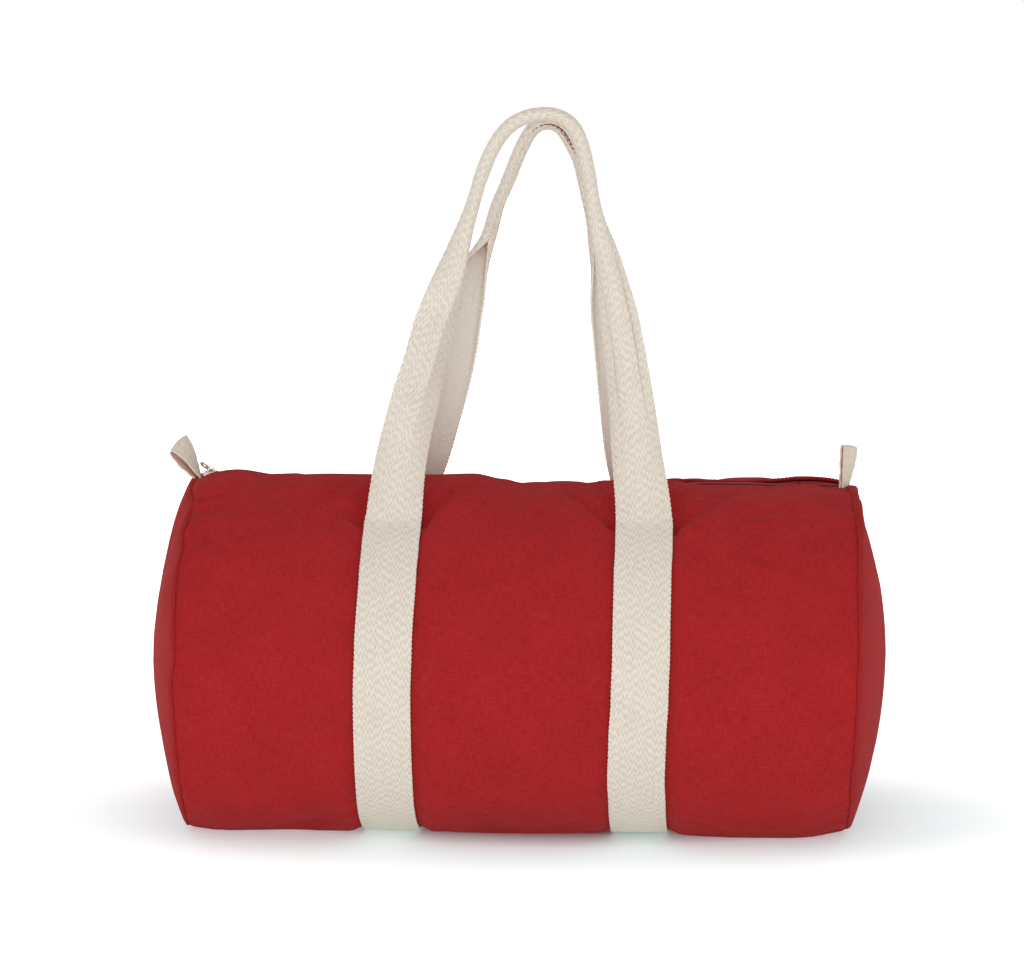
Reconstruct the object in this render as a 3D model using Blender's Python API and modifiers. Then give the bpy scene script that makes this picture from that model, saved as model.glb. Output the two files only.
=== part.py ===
# Canvas barrel bag with a zipped top and two webbing carrying handles.
# Metres, +Z up, the floor at z = 0, +X along the bag, the front of the bag towards -Y.
import math

import bmesh
import bpy
from mathutils import Matrix, Vector

# Driving dimensions of the canvas body
SEAM_HALF_LENGTH = 0.2229        # from the middle of the bag to the seam of an end panel
END_BULGE = 0.0271               # how far a stuffed end panel stands out past its seam
HALF_DEPTH = 0.130               # half the front-to-back size
SECTION_CENTRE = 0.1135          # height of the widest part of the section
HALF_HEIGHT = 0.1215             # from there to the top of the bag
FLOOR_ROUNDING = 2.25            # 2 is a plain ellipse, more is squarer towards the floor
TOP_SLOPE = 0.0095               # the top and its zip fall this much a metre towards the right
TOP_SLOPE_TURNS = (0.16, 0.50)   # all of the fall up to the first turn from the top, none past the second
CANVAS = 0.0020                  # thickness of the padded canvas
DOME_SHARES = (1.0, 0.985, 0.95, 0.88, 0.76, 0.60, 0.42, 0.22, 0.08)
DOME_POWER = 1.9                 # how the end panel rounds over from its middle
DOME_FULLNESS = 0.90             # and how steeply it leaves the seam, less is steeper
SEAM_DRAW = 0.0025               # how far the end seams draw the section in
SEAM_DRAW_LENGTH = 0.030         # over this length beside the seam
CLEARANCE = 0.0003               # gap between pieces that touch
RING_POINTS = 48                 # points round one section of the body
NORMAL_STEP = 0.01               # radians either side of a point to find the section's direction

# Webbing straps that run under the bag and go on as handles
WEBBING_WIDTH = 0.038
WEBBING = 0.0018                 # thickness of the webbing
STRAP_CENTRES = {"left": -0.083, "right": 0.084}
PINCH_DEPTH = 0.0035             # how far a strap draws the canvas in
PINCH_LEDGE = 0.001              # it stays drawn in this far past the strap's edges
PINCH_SHOULDER = 0.012           # and is back out this far past them
PINCH_OVERRUN = 0.13             # the canvas stays drawn in this far above the strap, in radians
PINCH_FADE = 0.13                # and comes back out over this much
STITCH_TURN = 0.575              # where the strap's stitching ends, in radians from the top
STITCH_SETBACK = 0.034           # the thread row lies this far below it, in radians
THREAD = 0.0004                  # thickness of a row of thread
STITCH_ROW_WIDTH = 0.0010
STITCH_ROW_INSET = 0.002         # the row stops this far inside the edges of the webbing

# Handles: x along the bag and h up the leaning handle, from the end of the stitching
HANDLE_LEAN = {"front": math.radians(11.5), "back": math.radians(-12.0)}
HANDLE_ROUTES = {
    "front": [(-0.0830, 0.000), (-0.0775, 0.040), (-0.0652, 0.094), (-0.0535, 0.138), (-0.0404, 0.182),
              (-0.0305, 0.213), (-0.0247, 0.233), (-0.0161, 0.2536), (-0.0030, 0.2690), (0.0184, 0.2745),
              (0.0350, 0.2685), (0.0425, 0.2530), (0.0485, 0.2255), (0.0520, 0.205), (0.0588, 0.183),
              (0.0635, 0.160), (0.0703, 0.124), (0.0766, 0.080), (0.0815, 0.035), (0.0840, 0.000)],
    "back": [(-0.0830, 0.000), (-0.0665, 0.040), (-0.0490, 0.100), (-0.0360, 0.155), (-0.0235, 0.185),
             (-0.0154, 0.212), (-0.0042, 0.238), (0.0013, 0.251), (0.0082, 0.264), (0.0170, 0.2690),
             (0.0275, 0.2665), (0.0359, 0.251), (0.0413, 0.238), (0.0461, 0.212), (0.0509, 0.185),
             (0.0565, 0.165), (0.0615, 0.127), (0.0690, 0.069), (0.0740, 0.033), (0.0840, 0.000)],
}
ROUTE_STEPS = 3                  # stations between two points of a route
HANDLE_SIDES = 14
CUP_START = 0.045                # h where the webbing begins to cup
FOLD_START = 0.125               # h where its two edges begin to fold together
FOLD_END = 0.222                 # h where the fold is closed
NARROWED_WIDTH = 0.0272          # seen width of the webbing at the start of the fold
GRIP_WIDTH = 0.0098              # seen width of the folded grip
GRIP_DEPTH = 0.0140              # its size from front to back
FLAT_ROUNDING = 5.0              # corner sharpness of the flat webbing's section
GRIP_ROUNDING = 2.4              # the same for the grip
GRIP_THREAD = 0.0005             # radius of the thread row along the closed fold

# Zip along the top
MOUTH_HALF_WIDTH = 0.0142        # from the middle to the edge of the canvas
ZIP_HALF_LENGTH = 0.190          # half the length that opens
ZIP_END_SETBACK = 0.0030         # the zip's fixed ends stop this far from the end seams
TAPE_TOP = SECTION_CENTRE + HALF_HEIGHT - 0.0014
TAPE = 0.0010                    # thickness of the zip tape
TAPE_EDGE = 0.0138               # the sewn edge of a tape
TEETH_OUTER = 0.0039
TEETH_INNER = 0.0008
TEETH_ABOVE = 0.0012             # height of the teeth above the tape
TEETH_BELOW = 0.0006
TEETH_BEVEL = 0.0005
TOPSTITCH_AT = 0.0178            # distance of the topstitching from the middle

# Slider and pull
SLIDER_CENTRE = -0.2105
SLIDER_LENGTH = 0.0115
SLIDER_HALF_WIDTH = 0.0052
SLIDER_WALL = 0.0010
SLIDER_LIP = 0.0009
SLIDER_POST = 0.0004             # half thickness of the post between the two rows of teeth
RUNNING_GAP = 0.0004
BRIDGE_LENGTH = 0.0060
BRIDGE_HEIGHT = 0.0034
BRIDGE_WALL = 0.0009
BRIDGE_WIDTH = 0.0016
BRIDGE_SHOULDER = 0.7            # share of its height where the bridge's corners begin
BRIDGE_FLAT = 0.55               # share of its length that the bridge's flat top takes
PIVOT_RISE = 0.0013              # height of the pull's pivot inside the bridge
PULL_LENGTH = 0.0092             # from its pivot to its tip
PULL_HALF_WIDTH = 0.0030
PULL_NECK_SHARE = 0.85           # width of the pull beside its eye, as a share of the full width
PULL_NECK_LENGTH = 0.0048
PULL_THICKNESS = 0.0009
PULL_BAR = 0.0006                # half thickness of the bar that turns under the bridge
EYE_LENGTH = 0.0036
EYE_MARGIN = 0.0005              # room for the bridge on each side of the eye
HOLE_RADIUS = 0.0013
ROUND_STEPS = 12                 # points round the pull's small hole
TIP_STEPS = 8                    # points round its tip
PULL_RAISE = math.radians(38.0)  # how far the pull stands up from the tape

# Tape loops at the two ends of the zip
TAB_WIDTH = 0.020
TAB_TAPE = 0.0012
TAB_BASE_X = 0.2226
TAB_RISE = 0.0006                # gap between a tape loop and the end seam under it
TABS = {
    "left": {"side": -1, "lean": math.radians(-30.0), "length": 0.0265, "belly": 0.0052},
    "right": {"side": 1, "lean": math.radians(2.0), "length": 0.0270, "belly": 0.0026},
}
TAB_SPREAD_POWER = 0.9           # how roundly a loop spreads
TAB_SPREAD_RISE = 0.75           # share of its length over which it opens
TAB_POINTS = 28

# Binding tape over the seams inside
BINDING_WIDTH = 0.012
BINDING = 0.0010
BINDING_SETBACK = 0.004          # how much further from the middle of the zip the binding starts

# Colours of the materials, linear
CANVAS_RED = (0.340, 0.020, 0.022)
WEBBING_CREAM = (0.76, 0.70, 0.60)
TAB_CREAM = (0.66, 0.58, 0.48)
THREAD_CREAM = (0.70, 0.64, 0.55)
ZIP_RED = (0.240, 0.015, 0.018)
THREAD_RED = (0.250, 0.015, 0.018)
BINDING_RED = (0.280, 0.018, 0.020)
PALE_METAL = (0.74, 0.69, 0.58)


def clear_scene():
    for thing in list(bpy.data.objects):
        bpy.data.objects.remove(thing, do_unlink=True)


def make_material(name, colour, roughness, metallic=0.0):
    material = bpy.data.materials.new(name)
    material.use_nodes = True
    shader = material.node_tree.nodes["Principled BSDF"]
    shader.inputs["Base Color"].default_value = (*colour, 1.0)
    shader.inputs["Roughness"].default_value = roughness
    shader.inputs["Metallic"].default_value = metallic
    return material


def add_object(name, mesh, material, collection):
    thing = bpy.data.objects.new(name, mesh)
    mesh.materials.append(material)
    collection.objects.link(thing)
    return thing


# Eases from 0 to 1 between two values
def ease(value, low, high):
    share = min(max((value - low) / (high - low), 0.0), 1.0)
    return share * share * (3.0 - 2.0 * share)


# Hangs moving pieces on an empty that stands on their joint's axis
def put_on_axis(name, point, things, collection):
    axis = bpy.data.objects.new(name, None)
    axis.empty_display_size = 0.01
    axis.location = point
    collection.objects.link(axis)
    for thing in things:
        thing.parent = axis
        thing.matrix_parent_inverse = Matrix.Translation(point).inverted()
    return axis


def smooth_shade(thing, angle=40.0):
    thing.data.shade_smooth()
    thing.data.set_sharp_from_angle(angle=math.radians(angle))


# Angle from the top on either side, whichever way round the turn is counted
def turn_from_top(turn):
    return min(turn % math.tau, -turn % math.tau)


# How far the top line has fallen at x, nothing at the left end seam
def top_fall(x):
    return -TOP_SLOPE * (x + SEAM_HALF_LENGTH)


# The body's section: turn 0 is the top, a quarter turn the front, a half turn the floor
def section_point(turn, inset, x=0.0):
    sine = math.sin(turn)
    cosine = math.cos(turn)
    power = 1.0 if cosine > 0.0 else 2.0 / FLOOR_ROUNDING
    y = -math.copysign(abs(sine) ** power, sine) * (HALF_DEPTH - inset)
    z = SECTION_CENTRE + math.copysign(abs(cosine) ** power, cosine) * (HALF_HEIGHT - inset)
    z += top_fall(x) * (1.0 - ease(turn_from_top(turn), *TOP_SLOPE_TURNS))
    return y, max(z, inset)


# How far the canvas is drawn in at x by the straps and the end seams
def canvas_inset(x, turn):
    inset = SEAM_DRAW * ease(abs(x), SEAM_HALF_LENGTH - SEAM_DRAW_LENGTH, SEAM_HALF_LENGTH)
    drawn_from = STITCH_TURN - PINCH_OVERRUN
    along = ease(turn_from_top(turn), drawn_from - PINCH_FADE, drawn_from)
    for centre in STRAP_CENTRES.values():
        past_edge = abs(x - centre) - WEBBING_WIDTH / 2.0
        inset += PINCH_DEPTH * along * (1.0 - ease(past_edge, PINCH_LEDGE, PINCH_SHOULDER))
    return inset


# Turns of the points of an open section that leaves the mouth free
def open_turns(edge, count):
    first = math.asin(edge / HALF_DEPTH)
    step = (2.0 * math.pi - 2.0 * first) / (count - 1)
    return [first + step * index for index in range(count)]


# Joins rings of points into one surface: wrap closes each ring, caps closes the two ends
def loft(name, rings, wrap, caps):
    work = bmesh.new()
    rows = [[work.verts.new(point) for point in ring] for ring in rings]
    count = len(rings[0])
    span = count if wrap else count - 1
    for row, following in zip(rows, rows[1:]):
        for index in range(span):
            onward = (index + 1) % count
            work.faces.new((row[index], row[onward], following[onward], following[index]))
    if caps:
        work.faces.new(rows[0])
        work.faces.new(rows[-1])
    bmesh.ops.recalc_face_normals(work, faces=work.faces)
    mesh = bpy.data.meshes.new(name)
    work.to_mesh(mesh)
    work.free()
    return mesh


# Joins points that share a place and turns every face outward
def weld(mesh):
    work = bmesh.new()
    work.from_mesh(mesh)
    bmesh.ops.remove_doubles(work, verts=work.verts, dist=0.00001)
    bmesh.ops.recalc_face_normals(work, faces=work.faces)
    work.to_mesh(mesh)
    work.free()


# Turns an open surface round if its faces look towards the middle of the bag
def face_outward(mesh):
    middle = Vector((0.0, 0.0, SECTION_CENTRE))
    lean = sum((face.center - middle).dot(face.normal) * face.area for face in mesh.polygons)
    if lean < 0.0:
        mesh.flip_normals()


def give_thickness(thing, thickness):
    wall = thing.modifiers.new("thickness", "SOLIDIFY")
    wall.thickness = thickness
    wall.offset = -1.0
    wall.use_even_offset = True


# Places along the bag where a section is needed: the seams, the straps and between them
def body_stations():
    stations = {0.0}
    for side in (-1.0, 1.0):
        stations.add(side * SEAM_HALF_LENGTH / 6.0)
        for setback in (CLEARANCE, SEAM_DRAW_LENGTH / 5.0, SEAM_DRAW_LENGTH / 2.0, SEAM_DRAW_LENGTH):
            stations.add(side * (SEAM_HALF_LENGTH - setback))
        for centre in STRAP_CENTRES.values():
            for past_edge in (PINCH_LEDGE, PINCH_SHOULDER / 2.0, PINCH_SHOULDER):
                stations.add(centre + side * (WEBBING_WIDTH / 2.0 + past_edge))
    return sorted(stations)


def make_body_panel(material, collection):
    turns = open_turns(MOUTH_HALF_WIDTH, RING_POINTS)
    rings = []
    for x in body_stations():
        rings.append([(x, *section_point(turn, canvas_inset(x, turn), x)) for turn in turns])
    mesh = loft("body_panel", rings, wrap=False, caps=False)
    face_outward(mesh)
    thing = add_object("body_panel", mesh, material, collection)
    give_thickness(thing, CANVAS)
    smooth_shade(thing)


# Rings of a stuffed round end, from its seam to a small flat middle
def dome_rings(side, inset, bulge):
    rings = []
    for share in DOME_SHARES:
        reach = bulge * (1.0 - share ** DOME_POWER) ** DOME_FULLNESS
        ring = []
        for index in range(RING_POINTS):
            y, z = section_point(math.tau * index / RING_POINTS, inset, side * SEAM_HALF_LENGTH)
            lift = SECTION_CENTRE + (z - SECTION_CENTRE) * share
            ring.append((side * (SEAM_HALF_LENGTH + reach), y * share, lift))
        rings.append(ring)
    return rings


# An end panel is a shell: the inner dome first, then over its rim to the outer dome
def make_end_panel(name, side, material, collection):
    inner = dome_rings(side, SEAM_DRAW + CANVAS, END_BULGE - CANVAS)
    outer = dome_rings(side, SEAM_DRAW, END_BULGE)
    mesh = loft(name, inner[::-1] + outer, wrap=True, caps=True)
    thing = add_object(name, mesh, material, collection)
    smooth_shade(thing)


# A narrow tape that covers the raw edges of an end seam on the inside
def make_seam_binding(name, side, material, collection):
    outer = SEAM_DRAW + CANVAS + CLEARANCE
    far = SEAM_HALF_LENGTH - CLEARANCE
    turns = open_turns(MOUTH_HALF_WIDTH + BINDING_SETBACK, RING_POINTS)
    rings = []
    for x in (far - BINDING_WIDTH, far):
        rings.append([(side * x, *section_point(turn, outer, side * x)) for turn in turns])
    mesh = loft(name, rings, wrap=False, caps=False)
    face_outward(mesh)
    thing = add_object(name, mesh, material, collection)
    give_thickness(thing, BINDING)
    smooth_shade(thing)


# Depth of a strap's outer face below the unpinched canvas
def strap_outer_inset():
    return PINCH_DEPTH - CLEARANCE - WEBBING


# A strap goes from the front stitching, under the bag, to the back stitching
def make_strap(name, centre, material, collection):
    outer = strap_outer_inset()
    inner = PINCH_DEPTH - CLEARANCE
    last_turn = 2.0 * math.pi - STITCH_TURN
    under = [turn for turn in open_turns(MOUTH_HALF_WIDTH, RING_POINTS) if STITCH_TURN < turn < last_turn]
    rings = []
    for turn in [STITCH_TURN] + under + [last_turn]:
        left = centre - WEBBING_WIDTH / 2.0
        right = centre + WEBBING_WIDTH / 2.0
        outside = section_point(turn, outer)
        inside = section_point(turn, inner)
        rings.append([(left, *outside), (right, *outside), (right, *inside), (left, *inside)])
    mesh = loft(name, rings, wrap=True, caps=True)
    thing = add_object(name, mesh, material, collection)
    smooth_shade(thing)


# Outward direction of the section at a turn, as (y, z)
def section_normal(turn, inset):
    before = Vector(section_point(turn - NORMAL_STEP, inset))
    after = Vector(section_point(turn + NORMAL_STEP, inset))
    run = (after - before).normalized()
    return Vector((run.y, -run.x))


def add_block(name, size, matrix, material, collection):
    work = bmesh.new()
    bmesh.ops.create_cube(work, size=1.0)
    bmesh.ops.scale(work, vec=size, verts=work.verts)
    mesh = bpy.data.meshes.new(name)
    work.to_mesh(mesh)
    work.free()
    thing = add_object(name, mesh, material, collection)
    thing.matrix_world = matrix
    return thing


# A row of thread laid on the section at a turn, its middle at x, falling by slope a metre
def make_thread_row(name, x, turn, inset, length, slope, material, collection):
    y, z = section_point(turn, inset)
    normal = section_normal(turn, inset)
    if normal.dot(Vector((y, z - SECTION_CENTRE))) < 0.0:
        normal = -normal
    away = normal * (CLEARANCE + THREAD / 2.0)
    tilt = math.atan2(normal.x, normal.y)
    turned = Matrix.Rotation(math.atan(slope), 4, "Y") @ Matrix.Rotation(-tilt, 4, "X")
    matrix = Matrix.Translation((x, y + away.x, z + away.y)) @ turned
    add_block(name, (length, STITCH_ROW_WIDTH, THREAD), matrix, material, collection)


# Points of a smooth curve through a handle's route
def smooth_route(route, steps):
    points = [Vector(point) for point in route]
    first = points[0] * 2.0 - points[1]
    last = points[-1] * 2.0 - points[-2]
    padded = [first] + points + [last]
    curve = []
    for index in range(1, len(padded) - 2):
        before, start, end, after = padded[index - 1:index + 3]
        for step in range(steps):
            t = step / steps
            curve.append(0.5 * (2.0 * start + (end - before) * t
                                + (2.0 * before - 5.0 * start + 4.0 * end - after) * t * t
                                + (3.0 * start - before - 3.0 * end + after) * t ** 3))
    curve.append(points[-1])
    return curve


# Half width, half thickness and corner sharpness of the webbing at height h
def webbing_section(h):
    fold = ease(h, FOLD_START, FOLD_END)
    narrowing = min(h / FOLD_START, 1.0)
    width = WEBBING_WIDTH + (NARROWED_WIDTH - WEBBING_WIDTH) * narrowing
    width += (GRIP_WIDTH - width) * fold
    depth = WEBBING + (GRIP_DEPTH - WEBBING) * ease(h, CUP_START, FOLD_END)
    rounding = FLAT_ROUNDING + (GRIP_ROUNDING - FLAT_ROUNDING) * fold
    return width / 2.0, depth / 2.0, rounding


# The hinge line of a handle, on the outer face of its strap where the stitching ends
def hinge_point(face):
    turn = STITCH_TURN if face == "front" else 2.0 * math.pi - STITCH_TURN
    return Vector((0.0, *section_point(turn, strap_outer_inset())))


# Frames along a handle: middle, direction across the webbing and direction through it
def handle_frames(face):
    lean = HANDLE_LEAN[face]
    upward = Vector((0.0, math.sin(lean), math.cos(lean)))
    inward = Vector((0.0, math.cos(lean), -math.sin(lean)))
    if face == "back":
        inward = -inward
    origin = hinge_point(face) + upward * CLEARANCE
    curve = smooth_route(HANDLE_ROUTES[face], ROUTE_STEPS)
    frames = []
    for index, point in enumerate(curve):
        before = curve[max(index - 1, 0)]
        after = curve[min(index + 1, len(curve) - 1)]
        run = (after - before).normalized()
        if index in (0, len(curve) - 1):
            run = Vector((0.0, math.copysign(1.0, run.y)))
        across = Vector((run.y, 0.0, 0.0)) - upward * run.x
        half_depth = webbing_section(point.y)[1]
        middle = origin + Vector((point.x, 0.0, 0.0)) + upward * point.y + inward * half_depth
        frames.append((middle, across, inward, point.y))
    return frames


def make_handle(face, material, collection):
    rings = []
    for middle, across, inward, h in handle_frames(face):
        half_width, half_depth, rounding = webbing_section(h)
        ring = []
        for index in range(HANDLE_SIDES):
            angle = 2.0 * math.pi * (index + 0.5) / HANDLE_SIDES
            wide = math.copysign(abs(math.cos(angle)) ** (2.0 / rounding), math.cos(angle))
            deep = math.copysign(abs(math.sin(angle)) ** (2.0 / rounding), math.sin(angle))
            ring.append(middle + across * half_width * wide + inward * half_depth * deep)
        rings.append(ring)
    name = "handle_" + face
    mesh = loft(name, rings, wrap=True, caps=True)
    thing = add_object(name, mesh, material, collection)
    smooth_shade(thing)
    return thing


# Thread along the closed edges of the folded grip, on the side that faces the other handle
def make_grip_stitches(face, material, collection):
    points = []
    for middle, _across, inward, h in handle_frames(face):
        if h > FOLD_END:
            half_depth = webbing_section(h)[1]
            points.append(middle + inward * (half_depth + CLEARANCE + GRIP_THREAD))
    return make_tube("grip_stitches_" + face, points, GRIP_THREAD, material, collection)


def make_tube(name, points, radius, material, collection):
    curve = bpy.data.curves.new(name, "CURVE")
    curve.dimensions = "3D"
    curve.bevel_depth = radius
    curve.bevel_resolution = 1
    curve.use_fill_caps = True
    spline = curve.splines.new("POLY")
    spline.points.add(len(points) - 1)
    for slot, point in zip(spline.points, points):
        slot.co = (*point, 1.0)
    return add_object(name, curve, material, collection)


# A prism: an outline drawn across the bag that runs along the sloping top from low to high
def make_top_prism(name, outline, low, high, material, collection):
    rings = [[(x, y, z + top_fall(x)) for y, z in outline] for x in (low, high)]
    mesh = loft(name, rings, wrap=True, caps=True)
    return add_object(name, mesh, material, collection)


# A prism across the bag: an outline drawn in x and z, given half its width either side
def make_cross_prism(name, outline, half_width, material, collection):
    rings = [[(x, y, z) for x, z in outline] for y in (-half_width, half_width)]
    mesh = loft(name, rings, wrap=True, caps=True)
    return add_object(name, mesh, material, collection)


# Outline of one zip tape or one row of teeth across the zip, side -1 at the front
def tape_outline(side):
    low = TAPE_TOP - TAPE
    near = side * (TEETH_OUTER + CLEARANCE)
    edge = side * TAPE_EDGE
    return [(near, low), (edge, low), (edge, TAPE_TOP), (near, TAPE_TOP)]


def teeth_outline(side):
    low = TAPE_TOP - TAPE - TEETH_BELOW
    high = TAPE_TOP + TEETH_ABOVE
    return [(side * TEETH_INNER, low), (side * TEETH_OUTER, low), (side * TEETH_OUTER, high - TEETH_BEVEL),
            (side * (TEETH_OUTER - TEETH_BEVEL), high), (side * TEETH_INNER, high)]


# The two halves of the zip that lift when it is undone, and its fixed ends by the seams
def make_zip(materials, collection):
    near = ZIP_HALF_LENGTH + CLEARANCE
    far = SEAM_HALF_LENGTH - ZIP_END_SETBACK
    stretches = {
        "": (-ZIP_HALF_LENGTH, ZIP_HALF_LENGTH),
        "_end_left": (-far, -near),
        "_end_right": (near, far),
    }
    for stretch, (low, high) in stretches.items():
        for face, side in (("front", -1), ("back", 1)):
            tape = make_top_prism("zip_tape" + stretch + "_" + face, tape_outline(side), low, high,
                                  materials["zip_tape"], collection)
            teeth = make_top_prism("zip_teeth" + stretch + "_" + face, teeth_outline(side), low, high,
                                   materials["zip_teeth"], collection)
            if not stretch:
                sewn_edge = Vector((0.0, side * TAPE_EDGE, TAPE_TOP + top_fall(0.0)))
                put_on_axis("zip_" + face + "_hinge", sewn_edge, [tape, teeth], collection)


# The slider's section is an I with turned-in lips: two plates joined by a thin post
def slider_outline():
    roof = TAPE_TOP + TEETH_ABOVE + RUNNING_GAP
    floor = TAPE_TOP - TAPE - TEETH_BELOW - RUNNING_GAP
    lip_top = TAPE_TOP + RUNNING_GAP
    wide = SLIDER_HALF_WIDTH
    narrow = wide - SLIDER_LIP
    lower = [(narrow, floor - SLIDER_WALL), (narrow, floor), (SLIDER_POST, floor)]
    lip = [(narrow, roof), (narrow, lip_top), (wide, lip_top), (wide, roof + SLIDER_WALL)]
    right = lower + [(SLIDER_POST, roof)] + lip
    left = [(-y, z) for y, z in reversed(right)]
    return right + left


# An arch with two cut corners, from its left foot to its right foot
def bridge_arch(half, height):
    flat = half * BRIDGE_FLAT
    shoulder = height * BRIDGE_SHOULDER
    return [(-half, 0.0), (-half, shoulder), (-flat, height), (flat, height), (half, shoulder), (half, 0.0)]


def make_slider(materials, collection):
    metal = materials["slider_metal"]
    low = SLIDER_CENTRE - SLIDER_LENGTH / 2.0
    high = SLIDER_CENTRE + SLIDER_LENGTH / 2.0
    slider = make_top_prism("zip_slider", slider_outline(), low, high, metal, collection)
    fall = top_fall(SLIDER_CENTRE)
    deck = TAPE_TOP + TEETH_ABOVE + RUNNING_GAP + SLIDER_WALL + CLEARANCE + fall
    half = BRIDGE_LENGTH / 2.0
    inner = half - BRIDGE_WALL
    outer_arch = bridge_arch(half, BRIDGE_HEIGHT)
    inner_arch = bridge_arch(inner, BRIDGE_HEIGHT - BRIDGE_WALL)
    placed = [(x + SLIDER_CENTRE, z + deck) for x, z in outer_arch + inner_arch[::-1]]
    bridge = make_cross_prism("slider_bridge", placed, BRIDGE_WIDTH / 2.0, metal, collection)
    put_on_axis("slider_track", Vector((SLIDER_CENTRE, 0.0, TAPE_TOP + fall)), [slider, bridge], collection)
    make_pull(deck, metal, collection)


# Points of an arc round a middle on the pull's own centre line
def arc_points(middle, radius, first, last, steps):
    angles = [first + (last - first) * step / steps for step in range(steps + 1)]
    return [(middle + radius * math.cos(angle), radius * math.sin(angle)) for angle in angles]


# The pull is a small plate with an eye round the bridge and a hole near its rounded tip
def make_pull(deck, material, collection):
    neck = PULL_HALF_WIDTH * PULL_NECK_SHARE
    tip_middle = PULL_LENGTH - PULL_HALF_WIDTH
    tip = arc_points(tip_middle, PULL_HALF_WIDTH, -math.pi / 2.0, math.pi / 2.0, TIP_STEPS)
    lower_edge = [(-PULL_BAR, -neck), (PULL_NECK_LENGTH, -neck)]
    upper_edge = [(PULL_NECK_LENGTH, neck), (-PULL_BAR, neck)]
    outline = lower_edge + tip + upper_edge
    eye_half = BRIDGE_WIDTH / 2.0 + EYE_MARGIN
    eye_end = PULL_BAR + EYE_LENGTH
    eye = [(PULL_BAR, -eye_half), (PULL_BAR, eye_half), (eye_end, eye_half), (eye_end, -eye_half)]
    hole = arc_points(tip_middle + CLEARANCE, HOLE_RADIUS, 0.0, math.tau, ROUND_STEPS)[:-1]

    plate = bpy.data.curves.new("pull_outline", "CURVE")
    plate.dimensions = "2D"
    plate.fill_mode = "BOTH"
    plate.extrude = PULL_THICKNESS / 2.0
    for ring in (outline, eye, hole):
        spline = plate.splines.new("POLY")
        spline.use_cyclic_u = True
        spline.points.add(len(ring) - 1)
        for slot, (along, across) in zip(spline.points, ring):
            slot.co = (along, across, 0.0, 1.0)
    pivot = Vector((SLIDER_CENTRE, 0.0, deck + PIVOT_RISE))
    guide = bpy.data.objects.new("pull_outline", plate)
    collection.objects.link(guide)
    guide.matrix_world = Matrix.Translation(pivot) @ Matrix.Rotation(math.pi + PULL_RAISE, 4, "Y")
    bpy.context.view_layer.update()
    mesh = bpy.data.meshes.new_from_object(guide.evaluated_get(bpy.context.evaluated_depsgraph_get()))
    weld(mesh)
    mesh.materials.clear()
    pull = add_object("zip_pull", mesh, material, collection)
    pull.matrix_world = guide.matrix_world.copy()
    bpy.data.objects.remove(guide, do_unlink=True)


# A tape folded into a loop: narrow where it is sewn in, widest past its middle
def make_tab(name, shape, material, collection):
    base_x = shape["side"] * TAB_BASE_X
    seam_top = SECTION_CENTRE + HALF_HEIGHT - SEAM_DRAW + top_fall(base_x)
    base = Vector((base_x, 0.0, seam_top + TAB_RISE))
    turn = Matrix.Rotation(shape["lean"], 4, "Y")
    neck = TAB_TAPE / 2.0 + CLEARANCE
    outer = []
    inner = []
    for index in range(TAB_POINTS):
        angle = 2.0 * math.pi * (index + 0.5) / TAB_POINTS
        rise = (1.0 - math.cos(angle)) / 2.0
        spread = abs(math.sin(angle)) ** TAB_SPREAD_POWER * ease(rise, 0.0, TAB_SPREAD_RISE)
        side = 1.0 if angle < math.pi else -1.0
        outer.append((side * (neck + TAB_TAPE / 2.0 + shape["belly"] * spread), shape["length"] * rise))
    for x, z in outer:
        lift = z * (shape["length"] - 2.0 * TAB_TAPE) / shape["length"] + TAB_TAPE
        inner.append((math.copysign(abs(x) - TAB_TAPE, x), lift))
    rings = []
    for y in (-TAB_WIDTH / 2.0, TAB_WIDTH / 2.0):
        rings.append([base + turn @ Vector((x, y, z)) for x, z in outer])
    for y in (TAB_WIDTH / 2.0, -TAB_WIDTH / 2.0):
        rings.append([base + turn @ Vector((x, y, z)) for x, z in inner])
    rings.append(rings[0])
    mesh = loft(name, rings, wrap=True, caps=False)
    weld(mesh)
    thing = add_object(name, mesh, material, collection)
    smooth_shade(thing)
    put_on_axis(name + "_hinge", base, [thing], collection)


def make_materials():
    return {
        "canvas": make_material("canvas", CANVAS_RED, 0.85),
        "webbing": make_material("webbing", WEBBING_CREAM, 0.90),
        "tab_tape": make_material("tab_tape", TAB_CREAM, 0.90),
        "thread": make_material("thread", THREAD_CREAM, 0.70),
        "canvas_thread": make_material("canvas_thread", THREAD_RED, 0.60),
        "zip_tape": make_material("zip_tape", ZIP_RED, 0.80),
        "zip_teeth": make_material("zip_teeth", ZIP_RED, 0.45),
        "binding": make_material("binding", BINDING_RED, 0.85),
        "slider_metal": make_material("slider_metal", PALE_METAL, 0.30, 1.0),
    }


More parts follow.
